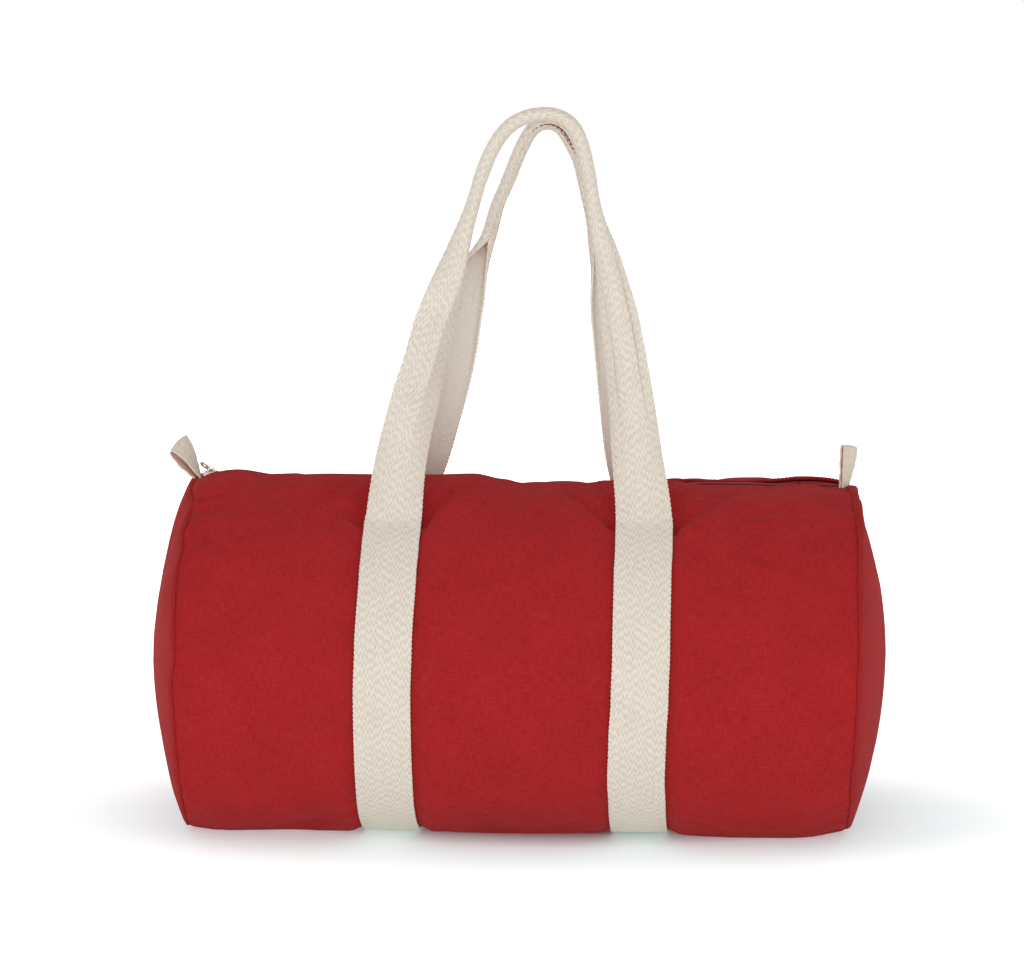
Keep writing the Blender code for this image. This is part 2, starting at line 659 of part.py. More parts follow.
def make_bag():
    clear_scene()
    collection = bpy.data.collections.new("barrel_bag")
    bpy.context.scene.collection.children.link(collection)
    materials = make_materials()

    make_body_panel(materials["canvas"], collection)
    for end, side in (("left", -1), ("right", 1)):
        make_end_panel("end_panel_" + end, side, materials["canvas"], collection)
        make_seam_binding("seam_binding_" + end, side, materials["binding"], collection)
        make_tab("tab_" + end, TABS[end], materials["tab_tape"], collection)
    for end, centre in STRAP_CENTRES.items():
        make_strap("strap_" + end, centre, materials["webbing"], collection)
        row = WEBBING_WIDTH - 2.0 * STITCH_ROW_INSET
        turn = STITCH_TURN + STITCH_SETBACK
        for face, place in (("front", turn), ("back", 2.0 * math.pi - turn)):
            make_thread_row("strap_stitches_" + face + "_" + end, centre, place, strap_outer_inset(), row,
                            0.0, materials["thread"], collection)
    edge_turn = math.asin(TOPSTITCH_AT / HALF_DEPTH)
    row = 2.0 * (SEAM_HALF_LENGTH - SEAM_DRAW_LENGTH)
    for face, place in (("front", edge_turn), ("back", 2.0 * math.pi - edge_turn)):
        make_thread_row("zip_topstitch_" + face, 0.0, place, 0.0, row, TOP_SLOPE,
                        materials["canvas_thread"], collection)
        handle = make_handle(face, materials["webbing"], collection)
        stitches = make_grip_stitches(face, materials["thread"], collection)
        put_on_axis("handle_" + face + "_hinge", hinge_point(face), [handle, stitches], collection)
    make_zip(materials, collection)
    make_slider(materials, collection)


make_bag()
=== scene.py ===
import math

import bmesh
import bpy
from mathutils import Matrix, Vector, noise


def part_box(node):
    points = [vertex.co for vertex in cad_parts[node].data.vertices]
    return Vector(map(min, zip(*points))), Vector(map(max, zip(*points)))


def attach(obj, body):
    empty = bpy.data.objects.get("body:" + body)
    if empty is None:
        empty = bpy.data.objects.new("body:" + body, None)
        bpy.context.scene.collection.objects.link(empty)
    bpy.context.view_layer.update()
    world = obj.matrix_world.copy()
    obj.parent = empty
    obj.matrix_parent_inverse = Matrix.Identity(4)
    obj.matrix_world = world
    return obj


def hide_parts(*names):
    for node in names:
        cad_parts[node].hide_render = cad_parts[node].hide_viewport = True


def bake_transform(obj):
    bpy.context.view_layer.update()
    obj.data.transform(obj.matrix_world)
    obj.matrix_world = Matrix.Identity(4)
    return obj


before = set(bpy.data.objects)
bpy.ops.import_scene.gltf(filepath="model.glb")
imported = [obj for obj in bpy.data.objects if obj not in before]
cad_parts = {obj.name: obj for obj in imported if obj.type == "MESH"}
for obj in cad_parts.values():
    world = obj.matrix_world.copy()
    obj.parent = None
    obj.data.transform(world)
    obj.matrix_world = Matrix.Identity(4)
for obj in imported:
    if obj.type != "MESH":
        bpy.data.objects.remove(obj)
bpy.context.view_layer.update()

# Barrel bag of red canvas with webbing handles. Metres, +X to the right, the front towards -Y.

# the stuffed body, as the frame has it
body = {
    "seamAt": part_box("body_panel")[1].x + 0.0003,
    "halfDepth": 0.130,
    "centre": 0.1135,
    "halfHeight": 0.1215,
    "floorRounding": 2.25,      # 2 is an ellipse, more is squarer under the bag
    "topSlope": 0.0095,         # fall of the top and zip a metre to the right
    "topSlopeTurns": (0.16, 0.50),
    "seamDraw": 0.0025,
    "seamDrawLength": 0.030,
    "canvas": 0.0011,           # thickness of the cloth
    "floorGap": 0.0006,
}

# the webbing bands and handles
webbing = {
    "width": 0.0377,
    "thickness": 0.0015,
    "columns": 56,
    "rowLength": 0.00102,
    "yarnPitch": 0.00133,       # one warp yarn across the band
    "pickLength": 0.0030,       # one float along the band
    # how far a float is shifted from its neighbour's place, and how the shift comes and goes along the band
    "shift": 0.30,
    "shiftTurn": 2.4,
    "sway": 0.22,
    "swayTurn": 150.0,
    "swayStep": 1.7,
    "bump": 0.00024,            # how far a float stands out
    "drift": 0.00034,           # how far the yarns wander, across
    "slide": 0.00125,           # and along
    "scallop": 0.00030,         # how far the selvedge swings
    "fringe": 0.0016,           # width of the selvedge
    "sewnCalm": 0.7,            # how much flatter the weave lies where it is sewn down
    "centres": {"left": -0.083, "right": 0.084},
    # how far each band strays to the right down the front, by the turn from the top
    "stray": {
        "left": [(0.61, 0.0013), (0.76, 0.0008), (0.95, 0.0), (1.37, -0.0017), (1.64, -0.0025),
                 (2.3, -0.0025), (3.0, 0.0)],
        "right": [(0.61, 0.0019), (0.76, 0.0019), (0.95, 0.0012), (1.37, 0.0006), (1.64, -0.0003),
                  (1.87, -0.0017), (2.12, -0.0026), (2.3, -0.0020), (3.0, 0.0)],
    },
    "stitchTurn": 0.575,
    "setback": 0.034,           # the sewn line lies this far below, in radians
    "outerInset": 0.0014,
}


def ease(value, low, high):
    share = min(max((value - low) / (high - low), 0.0), 1.0)
    return share * share * (3.0 - 2.0 * share)


def mix(first, second, share):
    return first + (second - first) * share


# a value read from a short list of (place, value) pairs, eased from one to the next
def profile(pairs, place):
    if place <= pairs[0][0]:
        return pairs[0][1]
    for (low, before), (high, after) in zip(pairs, pairs[1:]):
        if place <= high:
            return mix(before, after, ease(place, low, high))
    return pairs[-1][1]


def bell(distance, width):
    return math.exp(-(distance / width) ** 2)


def fromTop(turn):
    return min(turn % math.tau, -turn % math.tau)


def noiseAt(x, y, z):
    return noise.noise(Vector((x, y, z)))


def topFall(x):
    return -body["topSlope"] * (x + body["seamAt"])


def sideName(side):
    return "left" if side < 0.0 else "right"


# the section of the body: turn 0 is the top, a quarter turn the front, a half turn the floor
def sectionPoint(turn, inset, x=0.0, rounding=None):
    sine, cosine = math.sin(turn), math.cos(turn)
    power = 1.0 if cosine > 0.0 else 2.0 / (rounding or body["floorRounding"])
    y = -math.copysign(abs(sine) ** power, sine) * (body["halfDepth"] - inset)
    z = body["centre"] + math.copysign(abs(cosine) ** power, cosine) * (body["halfHeight"] - inset)
    z += topFall(x) * (1.0 - ease(fromTop(turn), *body["topSlopeTurns"]))
    return Vector((x, y, max(z, inset)))


def sectionNormal(turn, x=0.0, step=0.01):
    run = sectionPoint(turn + step, 0.0, x) - sectionPoint(turn - step, 0.0, x)
    return Vector((0.0, run.z, -run.y)).normalized()


# the middle of a band at a turn; the back of it runs straight
def bandCentre(end, turn):
    turn = turn % math.tau
    return webbing["centres"][end] + (profile(webbing["stray"][end], turn) if turn < math.pi else 0.0)


# adds a node to a material, with its inputs linked or set
def addNode(tree, kind, links=None, **settings):
    node = tree.nodes.new(kind)
    for name, value in settings.items():
        setattr(node, name, value)
    for slot, value in (links or {}).items():
        if isinstance(value, bpy.types.NodeSocket):
            tree.links.new(value, node.inputs[slot])
        else:
            node.inputs[slot].default_value = value
    return node


def sums(tree, operation, first, second=0.0, third=0.0):
    return addNode(tree, "ShaderNodeMath", {0: first, 1: second, 2: third}, operation=operation).outputs[0]


def blendColours(tree, share, first, second):
    node = addNode(tree, "ShaderNodeMix", {0: share}, data_type="RGBA")
    for slot, colour in ((6, first), (7, second)):
        if isinstance(colour, bpy.types.NodeSocket):
            tree.links.new(colour, node.inputs[slot])
        else:
            node.inputs[slot].default_value = (*colour, 1.0)
    return node.outputs[2]


def newMaterial(name, roughness, sheen=0.0, sheenRoughness=0.5, sheenTint=(1.0, 1.0, 1.0), metallic=0.0,
                specular=0.3):
    material = bpy.data.materials.new(name)
    material.use_nodes = True
    shader = material.node_tree.nodes["Principled BSDF"]
    shader.inputs["Roughness"].default_value = roughness
    shader.inputs["Sheen Weight"].default_value = sheen
    shader.inputs["Sheen Roughness"].default_value = sheenRoughness
    shader.inputs["Sheen Tint"].default_value = (*sheenTint, 1.0)
    shader.inputs["Metallic"].default_value = metallic
    shader.inputs["Specular IOR Level"].default_value = specular
    return material, material.node_tree, shader


# the piece's own cloth coordinates in metres, across and along
def clothCoordinates(tree):
    place = addNode(tree, "ShaderNodeUVMap", uv_map="weave").outputs[0]
    split = addNode(tree, "ShaderNodeSeparateXYZ", {0: place})
    return place, split.outputs[0], split.outputs[1]


def waves(tree, along, length):
    return sums(tree, "SINE", sums(tree, "MULTIPLY", along, math.tau / length))


def grain(tree, place, scale, detail=3.0, stretch=(1.0, 1.0, 1.0)):
    moved = addNode(tree, "ShaderNodeMapping", {0: place, 3: stretch}).outputs[0]
    return addNode(tree, "ShaderNodeTexNoise", {"Vector": moved, "Scale": scale, "Detail": detail}).outputs[0]


def addBump(tree, shader, height, distance, strength=1.0):
    bump = addNode(tree, "ShaderNodeBump", {"Height": height, "Distance": distance, "Strength": strength})
    tree.links.new(bump.outputs[0], shader.inputs["Normal"])


# a plain-weave cloth: threads over and under, uneven yarn, and a slow change of shade
def clothMaterial(name, look):
    material, tree, shader = newMaterial(name, look["roughness"], look["sheen"], 0.45, look["sheenTint"],
                                         specular=look.get("specular", 0.2))
    place, across, along = clothCoordinates(tree)
    weave = sums(tree, "MULTIPLY", waves(tree, across, look["thread"]), waves(tree, along, look["thread"]))
    twill = waves(tree, sums(tree, "ADD", across, along), look["thread"] * 2.0)
    weave = sums(tree, "MULTIPLY_ADD", twill, look.get("twill", 0.0), weave)
    warp = grain(tree, place, 1.0, 2.0, (1.0 / look["thread"], 1.0 / look["slub"], 1.0))
    weft = grain(tree, place, 1.0, 2.0, (1.0 / look["slub"], 1.0 / look["thread"], 1.0))
    yarn = sums(tree, "SUBTRACT", sums(tree, "ADD", warp, weft), 1.0)
    cloud = sums(tree, "SUBTRACT", grain(tree, place, look["cloud"], 3.0), 0.5)
    tone = sums(tree, "ADD", 0.5, sums(tree, "MULTIPLY", weave, look["weaveShade"]))
    tone = sums(tree, "MULTIPLY_ADD", yarn, look["yarnShade"], tone)
    tone = sums(tree, "MULTIPLY_ADD", cloud, look["cloudShade"], tone)
    colour = blendColours(tree, tone, look["dark"], look["light"])
    # painted warm shade and painted glow deep in the folds, for a cloth whose look asks for it
    if look.get("warm"):
        colour = warmShade(tree, shader, colour, look["warm"])
    tree.links.new(colour, shader.inputs["Base Color"])
    height = sums(tree, "MULTIPLY_ADD", yarn, 0.8, sums(tree, "MULTIPLY", weave, 0.5))
    addBump(tree, shader, height, look["relief"])
    return material


# painted shade and painted glow: deep between two layers of pale cotton, where little open sky is left, the
# colour is darkened to a warm red, and a red glow stands in for the light that the red cloth throws in there
warmLook = {
    "reach": 0.015,
    "starts": 0.46,             # share of open sky left where it begins
    "full": 0.10,               # and where it is strongest
    "most": 0.85,
    # the colour of the painted shade, and the colour and strength of the painted glow
    "shade": (0.45, 0.18, 0.15),
    "glow": (1.0, 0.30, 0.24),
    "glowStrength": 0.13,
}


def warmShade(tree, shader, colour, reach=warmLook["reach"]):
    near = addNode(tree, "ShaderNodeAmbientOcclusion", {"Distance": reach}, samples=8, only_local=True)
    share = addNode(tree, "ShaderNodeMapRange", {0: near.outputs["AO"], 1: warmLook["starts"],
                                                 2: warmLook["full"], 3: 0.0, 4: warmLook["most"]}).outputs[0]
    # painted glow: the cloth gives off a little red light where it is painted darker
    glow = sums(tree, "MULTIPLY", share, warmLook["glowStrength"])
    tree.links.new(glow, shader.inputs["Emission Strength"])
    shader.inputs["Emission Color"].default_value = (*warmLook["glow"], 1.0)
    return blendColours(tree, share, colour, warmLook["shade"])


# 1 on the faces that look back towards the middle of the bag, 0 on the others: where the webbing gets its
# painted light
def innerFace(tree, low, high):
    spot = addNode(tree, "ShaderNodeTexCoord")
    place = addNode(tree, "ShaderNodeSeparateXYZ", {0: spot.outputs["Object"]}).outputs[1]
    facing = addNode(tree, "ShaderNodeSeparateXYZ", {0: spot.outputs["Normal"]}).outputs[1]
    outward = sums(tree, "MULTIPLY", place, facing)
    return addNode(tree, "ShaderNodeMapRange", {0: outward, 1: low, 2: high, 3: 0.0, 4: 1.0}).outputs[0]


# chunky undyed webbing: floats that alternate like bricks, with painted shade in the gaps between them, and
# flecks of seed
def webbingMaterial(name, look):
    material, tree, shader = newMaterial(name, 0.9, look["sheen"], 0.5, (1.0, 0.96, 0.9), specular=0.15)
    place, across, along = clothCoordinates(tree)
    columns = sums(tree, "COSINE", sums(tree, "MULTIPLY", across, math.pi / look["pitch"]))
    yarn = sums(tree, "FLOOR", sums(tree, "MULTIPLY_ADD", across, 1.0 / look["pitch"], 0.5))
    sway = sums(tree, "MULTIPLY", yarn, webbing["swayStep"])
    sway = sums(tree, "SINE", sums(tree, "MULTIPLY_ADD", along, webbing["swayTurn"], sway))
    shift = sums(tree, "SINE", sums(tree, "MULTIPLY", yarn, webbing["shiftTurn"]))
    shift = sums(tree, "MULTIPLY", shift, webbing["shift"])
    shift = sums(tree, "MULTIPLY_ADD", sway, webbing["sway"], shift)
    picks = sums(tree, "MULTIPLY_ADD", along, 1.0 / look["pick"], shift)
    picks = sums(tree, "COSINE", sums(tree, "MULTIPLY", picks, math.pi))
    lattice = sums(tree, "MULTIPLY", columns, picks)
    uneven = sums(tree, "SUBTRACT", grain(tree, place, look["unevenScale"], 2.0), 0.5)
    cloud = sums(tree, "SUBTRACT", grain(tree, place, look["cloudScale"], 3.0), 0.5)
    # painted shade: the gaps between the floats are darker, as if in shadow
    tone = sums(tree, "MULTIPLY_ADD", lattice, look["latticeShade"], look["middle"])
    ribs = sums(tree, "MULTIPLY_ADD", waves(tree, along, look["rib"]), look["ribShade"], look["ribMiddle"])
    # painted light: the faces towards the middle of the bag are made paler, with ribs across
    inner = innerFace(tree, *look["innerFaces"])
    tone = addNode(tree, "ShaderNodeMix", {0: inner, 2: tone, 3: ribs}).outputs[0]
    tone = sums(tree, "MULTIPLY_ADD", uneven, look["unevenShade"], tone)
    tone = sums(tree, "MULTIPLY_ADD", cloud, look["cloudShade"], tone)
    tone = sums(tree, "MINIMUM", sums(tree, "MAXIMUM", tone, 0.0), 1.0)
    colour = blendColours(tree, tone, look["dark"], look["light"])
    # painted light on the faces towards the middle of the bag
    colour = blendColours(tree, sums(tree, "MULTIPLY", inner, look["innerShade"]), colour, look["inner"])
    fleck = grain(tree, place, look["fleckScale"], 1.0)
    fleck = addNode(tree, "ShaderNodeMapRange", {0: fleck, 1: 0.74, 2: 0.80}).outputs[0]
    colour = blendColours(tree, sums(tree, "MULTIPLY", fleck, look["fleckShade"]), colour, look["fleck"])
    # painted warm shade and painted glow deep in the folds and rolls of the webbing
    tree.links.new(warmShade(tree, shader, colour), shader.inputs["Base Color"])
    ply = waves(tree, sums(tree, "MULTIPLY_ADD", across, 1.6, along), look["ply"])
    height = sums(tree, "MULTIPLY_ADD", ply, 0.25, sums(tree, "MULTIPLY", uneven, 1.6))
    addBump(tree, shader, height, look["relief"])
    return material


def threadMaterial(name, colour, twist=0.0012):
    material, tree, shader = newMaterial(name, 0.65, 0.2, 0.4, colour, specular=0.35)
    place = addNode(tree, "ShaderNodeTexCoord").outputs["Object"]
    split = addNode(tree, "ShaderNodeSeparateXYZ", {0: place})
    slant = sums(tree, "ADD", split.outputs[0], sums(tree, "ADD", split.outputs[1], split.outputs[2]))
    ply = waves(tree, slant, twist)
    fuzz = grain(tree, place, 1500.0)
    tone = sums(tree, "MULTIPLY_ADD", ply, 0.18, fuzz)
    dark = tuple(0.80 * value for value in colour)
    tree.links.new(blendColours(tree, tone, dark, colour), shader.inputs["Base Color"])
    addBump(tree, shader, ply, 0.0001)
    return material


def coilMaterial(name, colour):
    material, tree, shader = newMaterial(name, 0.6, specular=0.15)
    place = addNode(tree, "ShaderNodeTexCoord").outputs["Object"]
    scuff = grain(tree, place, 400.0)
    light = tuple(min(1.0, 1.5 * value + 0.01) for value in colour)
    tree.links.new(blendColours(tree, scuff, colour, light), shader.inputs["Base Color"])
    rough = addNode(tree, "ShaderNodeMapRange", {0: scuff, 3: 0.5, 4: 0.75}).outputs[0]
    tree.links.new(rough, shader.inputs["Roughness"])
    addBump(tree, shader, grain(tree, place, 2500.0), 0.00003)
    return material


def metalMaterial(name, colour):
    material, tree, shader = newMaterial(name, 0.3, metallic=1.0, specular=0.5)
    place = addNode(tree, "ShaderNodeTexCoord").outputs["Object"]
    scuff = grain(tree, place, 700.0, 4.0)
    brushed = grain(tree, place, 900.0, 2.0, (0.15, 1.0, 1.0))
    dull = tuple(0.84 * value for value in colour)
    tree.links.new(blendColours(tree, scuff, dull, colour), shader.inputs["Base Color"])
    rough = addNode(tree, "ShaderNodeMapRange", {0: scuff, 3: 0.32, 4: 0.52}).outputs[0]
    tree.links.new(rough, shader.inputs["Roughness"])
    addBump(tree, shader, brushed, 0.00002)
    return material


canvasLook = {
    "dark": (0.240, 0.009, 0.011), "light": (0.420, 0.022, 0.024), "roughness": 0.9, "sheen": 0.036,
    "sheenTint": (1.0, 0.66, 0.62), "specular": 0.06, "thread": 0.0011, "slub": 0.006, "cloud": 34.0,
    "weaveShade": 0.34, "twill": 0.12, "yarnShade": 0.80, "cloudShade": 0.42, "relief": 0.00013,
}
webbingLook = {
    "dark": (0.50, 0.425, 0.335), "light": (0.80, 0.745, 0.655), "fleck": (0.30, 0.22, 0.14), "sheen": 0.1,
    "pitch": webbing["yarnPitch"], "pick": webbing["pickLength"], "ply": 0.0007, "relief": 0.00016,
    # latticeShade is how strong the painted shade in the gaps between the floats is
    "middle": 0.70, "latticeShade": 0.27, "unevenShade": 0.50, "unevenScale": 900.0,
    "cloudShade": 0.20, "cloudScale": 60.0, "fleckScale": 420.0, "fleckShade": 0.7,
    # the faces towards the middle of the bag show ribs across the webbing instead, and are painted paler:
    # painted light in place of the light that reaches them too little
    "rib": 0.00235, "ribShade": 0.26, "ribMiddle": 0.92,
    "inner": (0.93, 0.885, 0.80), "innerShade": 0.5, "innerFaces": (-0.016, -0.026),
}
tabLook = {
    # warm is how far the painted warm shade and painted glow reach into the loop's folds
    "dark": (0.52, 0.435, 0.345), "light": (0.82, 0.735, 0.625), "warm": 0.012, "roughness": 0.9,
    "sheen": 0.15, "sheenTint": (1.0, 0.95, 0.88), "thread": 0.0010, "slub": 0.012, "cloud": 90.0,
    "weaveShade": 0.22, "yarnShade": 0.45, "cloudShade": 0.25, "relief": 0.0002,
}
zipTapeLook = {
    "dark": (0.21, 0.010, 0.012), "light": (0.34, 0.018, 0.020), "roughness": 0.9, "sheen": 0.03,
    "sheenTint": (1.0, 0.6, 0.58), "thread": 0.0008, "slub": 0.01, "cloud": 60.0,
    "weaveShade": 0.25, "yarnShade": 0.4, "cloudShade": 0.2, "relief": 0.00015,
}
bindingLook = {
    "dark": (0.20, 0.010, 0.013), "light": (0.34, 0.022, 0.024), "roughness": 0.85, "sheen": 0.15,
    "sheenTint": (1.0, 0.6, 0.58), "thread": 0.0009, "slub": 0.012, "cloud": 50.0,
    "weaveShade": 0.25, "yarnShade": 0.4, "cloudShade": 0.2, "relief": 0.00018,
}
finishes = {
    "canvas": clothMaterial("red canvas", canvasLook),
    "webbing": webbingMaterial("undyed webbing", webbingLook),
    "tab_tape": clothMaterial("undyed tape", tabLook),
    "thread": threadMaterial("undyed thread", (0.84, 0.785, 0.70)),
    "canvas_thread": threadMaterial("red thread", (0.30, 0.018, 0.020)),
    "zip_tape": clothMaterial("red zip tape", zipTapeLook),
    "zip_teeth": coilMaterial("red coil", (0.17, 0.010, 0.012)),
    "binding": clothMaterial("red binding", bindingLook),
    "slider_metal": metalMaterial("pale plated metal", (0.80, 0.76, 0.68)),
}
print("materials ready")


# a bmesh becomes a named piece with its finish and, where it is cloth, its thickness
def finishPiece(work, name, slot, thickness=0.0, smooth=True):
    mesh = bpy.data.meshes.new(name)
    work.to_mesh(mesh)
    work.free()
    mesh.materials.append(finishes[slot])
    if smooth:
        mesh.shade_smooth()
    piece = bpy.data.objects.new(name, mesh)
    bpy.context.scene.collection.objects.link(piece)
    if thickness:
        wall = piece.modifiers.new("thickness", "SOLIDIFY")
        wall.thickness = thickness
        wall.offset = -1.0
    return piece


# a cloth grid whose corners go where place(column, row) says, with its size in metres as UV
def makeCloth(columns, rows, place, clothPlace, flip=False):
    work = bmesh.new()
    bmesh.ops.create_grid(work, x_segments=columns, y_segments=rows, size=0.5)
    work.verts.ensure_lookup_table()
    weave = work.loops.layers.uv.new("weave")
    for corner in work.verts:
        row, column = divmod(corner.index, columns + 1)
        corner.co = place(column, row)
    for face in work.faces:
        for loop in face.loops:
            row, column = divmod(loop.vert.index, columns + 1)
            loop[weave].uv = clothPlace(column, row)
    if flip:
        bmesh.ops.reverse_faces(work, faces=work.faces)
    return work


# the canvas round the body, as it lies on the filling
canvasShape = {
    "columns": 236,              # round the body
    "rows": 150,                 # along it
    "hemEnd": 0.0172,            # from the middle of the zip to where the hem's fold meets the plain cloth
    "swell": 0.0016,             # how far the cloth stands out between two bands
    "pinch": 0.0035,             # how far a band draws it in
    "pinchLedge": 0.0006,        # it stays in this far past the band's edges
    "pinchShoulder": 0.010,      # and is back out here
    "pinchRise": 0.13,
    "seamDip": 0.0015,
    "seamDipLength": 0.0048,
    "seamRows": (0.0003, 0.0004, 0.0009, 0.0018, 0.0030, 0.0048),
    "rowGap": 0.0024,            # from the last of these rows to the evenly spaced ones
    "edge": 0.00035,             # within this of an end seam
    "allowance": 0.0016,         # the cloth's edge turns in this far
    # how far each end seam lies outside a plain flat circle, by the turn from the top
    "seamOut": {
        "left": [(0.0, -0.0012), (0.22, -0.0022), (0.41, -0.0056), (0.565, -0.0036), (0.65, -0.0020),
                 (0.75, -0.0026), (0.96, 0.0), (1.18, 0.0),
                 (1.41, -0.0012), (1.57, 0.0010), (1.77, -0.0002), (2.0, -0.0010), (2.45, -0.0018),
                 (2.8, -0.0006), (3.14, -0.0004)],
        "right": [(0.0, 0.0), (0.34, 0.0022), (0.54, 0.0040), (0.72, 0.0046), (1.0, 0.0040), (1.4, 0.0042),
                  (1.57, 0.0033), (1.9, 0.0021), (2.15, 0.0007), (2.6, 0.0)],
    },
    "puckers": 0.0011,
    "puckerReach": 0.014,
    "folds": 0.0011,
    "wrinkles": 0.0010,
    # how strong the wrinkles are, by the turn from the top
    "wrinkled": [(0.16, 0.0), (0.34, 1.0), (0.62, 0.9), (1.0, 0.42), (2.0, 0.38), (2.35, 0.8), (2.8, 0.5)],
    "crownTurns": (0.12, 0.60),  # the crowns below run out between these turns from the top
    "valleyStep": 0.55,          # how much steeper a valley's upper side is
    # how far the top of the cloth stands off the frame's along the bag, before and behind the zip
    "frontCrown": [(-0.2229, 0.0020), (-0.208, 0.0062), (-0.190, 0.0070), (-0.163, 0.0040), (-0.122, 0.0052),
                   (-0.061, 0.0062), (-0.030, 0.0070), (-0.010, 0.0036), (0.004, 0.0008), (0.030, 0.0008),
                   (0.055, 0.0022), (0.080, 0.0030), (0.106, 0.0045), (0.117, 0.0028), (0.128, 0.0018),
                   (0.156, 0.0008), (0.183, 0.0026), (0.192, 0.0032), (0.214, 0.0018), (0.2229, 0.0010)],
    "backCrown": [(-0.2229, 0.0014), (-0.215, 0.0036), (-0.203, 0.0012), (-0.190, -0.0010), (-0.120, -0.0016),
                  (-0.040, -0.0012), (-0.010, -0.0038), (0.004, -0.0052), (0.040, -0.0052), (0.058, -0.0034),
                  (0.080, -0.0004), (0.110, 0.0006), (0.150, 0.0006), (0.170, 0.0018), (0.190, 0.0034),
                  (0.212, 0.0042), (0.2229, 0.0030)],
    # how square the underside is along the bag
    "rounding": [(-0.2229, 2.36), (-0.19, 2.34), (-0.15, 2.2), (-0.10, 2.3), (0.05, 2.3), (0.14, 2.5),
                 (0.19, 2.5), (0.2229, 2.2)],
    # valleys in the cloth: start and end as (x, turn), how deep, how wide
    "backValleys": 7,            # so many of them are on the back too, mirrored
    "valleys": [
        ((0.063, 0.58), (0.038, 0.34), 0.0054, 0.0080),
        ((-0.062, 0.58), (-0.044, 0.34), 0.0052, 0.0062),
        ((-0.104, 0.56), (-0.128, 0.42), 0.0052, 0.0095),
        ((-0.120, 0.66), (-0.160, 0.78), 0.0014, 0.0065),
        ((0.105, 0.60), (0.132, 0.42), 0.0056, 0.0100),
        ((0.108, 0.36), (0.150, 0.30), 0.0018, 0.0050),
        ((0.112, 0.66), (0.150, 0.70), -0.0014, 0.0045),
        ((0.152, 0.61), (0.196, 0.56), -0.0022, 0.0042),
        ((0.135, 0.42), (0.172, 0.47), -0.0014, 0.0045),
        ((0.150, 0.56), (0.214, 0.44), 0.0014, 0.0055),
        ((0.160, 0.86), (0.214, 0.98), 0.0026, 0.0065),
        ((-0.216, 0.40), (-0.188, 0.35), 0.0030, 0.0040),
        ((-0.218, 0.52), (-0.194, 0.50), 0.0030, 0.0045),
        ((-0.205, 0.74), (-0.185, 0.84), 0.0020, 0.0065),
        ((0.214, 2.28), (0.170, 2.42), 0.0014, 0.0050),
        ((0.214, 2.05), (0.186, 2.12), 0.0010, 0.0045),
        ((-0.214, 0.78), (-0.150, 0.86), 0.0010, 0.0060),
        ((-0.214, 0.98), (-0.170, 1.06), 0.0008, 0.0050),
        ((0.214, 0.62), (0.180, 0.80), 0.0010, 0.0060),
    ],
}


# how deep a valley is at a place on the cloth; it runs from start to end and fades along the way
def valleyDepth(x, turn, start, end, depth, width):
    reach = body["halfDepth"]
    first = Vector((start[0], start[1] * reach))
    last = Vector((end[0], end[1] * reach))
    here = Vector((x, turn * reach))
    run = last - first
    share = min(max((here - first).dot(run) / run.length_squared, 0.0), 1.0)
    offset = here - first - run * share
    away = offset.length
    if run.cross(offset) * run.x > 0.0:
        width = width * canvasShape["valleyStep"]
    return depth * bell(away, width) * (1.0 - 0.6 * share)


def pinchAt(x, turn):
    drawnFrom = webbing["stitchTurn"] - canvasShape["pinchRise"]
    along = ease(fromTop(turn), drawnFrom - canvasShape["pinchRise"], drawnFrom)
    depth = 0.0
    for end in webbing["centres"]:
        pastEdge = abs(x - bandCentre(end, turn)) - webbing["width"] / 2.0
        drawn = 1.0 - ease(pastEdge, canvasShape["pinchLedge"], canvasShape["pinchShoulder"])
        depth += canvasShape["pinch"] * along * drawn
    return depth


def baySwell(x):
    seam, half = body["seamAt"], webbing["width"] / 2.0
    edges = [-seam, webbing["centres"]["left"] - half, webbing["centres"]["left"] + half,
             webbing["centres"]["right"] - half, webbing["centres"]["right"] + half, seam]
    for low, high in (edges[0:2], edges[2:4], edges[4:6]):
        if low < x < high:
            return canvasShape["swell"] * math.sin(math.pi * (x - low) / (high - low)) ** 0.7
    return 0.0


# how far out an end seam lies
def seamOut(side, turn):
    return profile(canvasShape["seamOut"][sideName(side)], fromTop(turn))


# how deep its groove is
def seamGroove(side, turn):
    away = fromTop(turn)
    wander = noiseAt(away * 3.1, math.copysign(2.0, math.sin(turn)), math.copysign(4.0, side))
    return canvasShape["seamDip"] * (0.75 + 1.1 * wander) * ease(away, 0.08, 0.22)


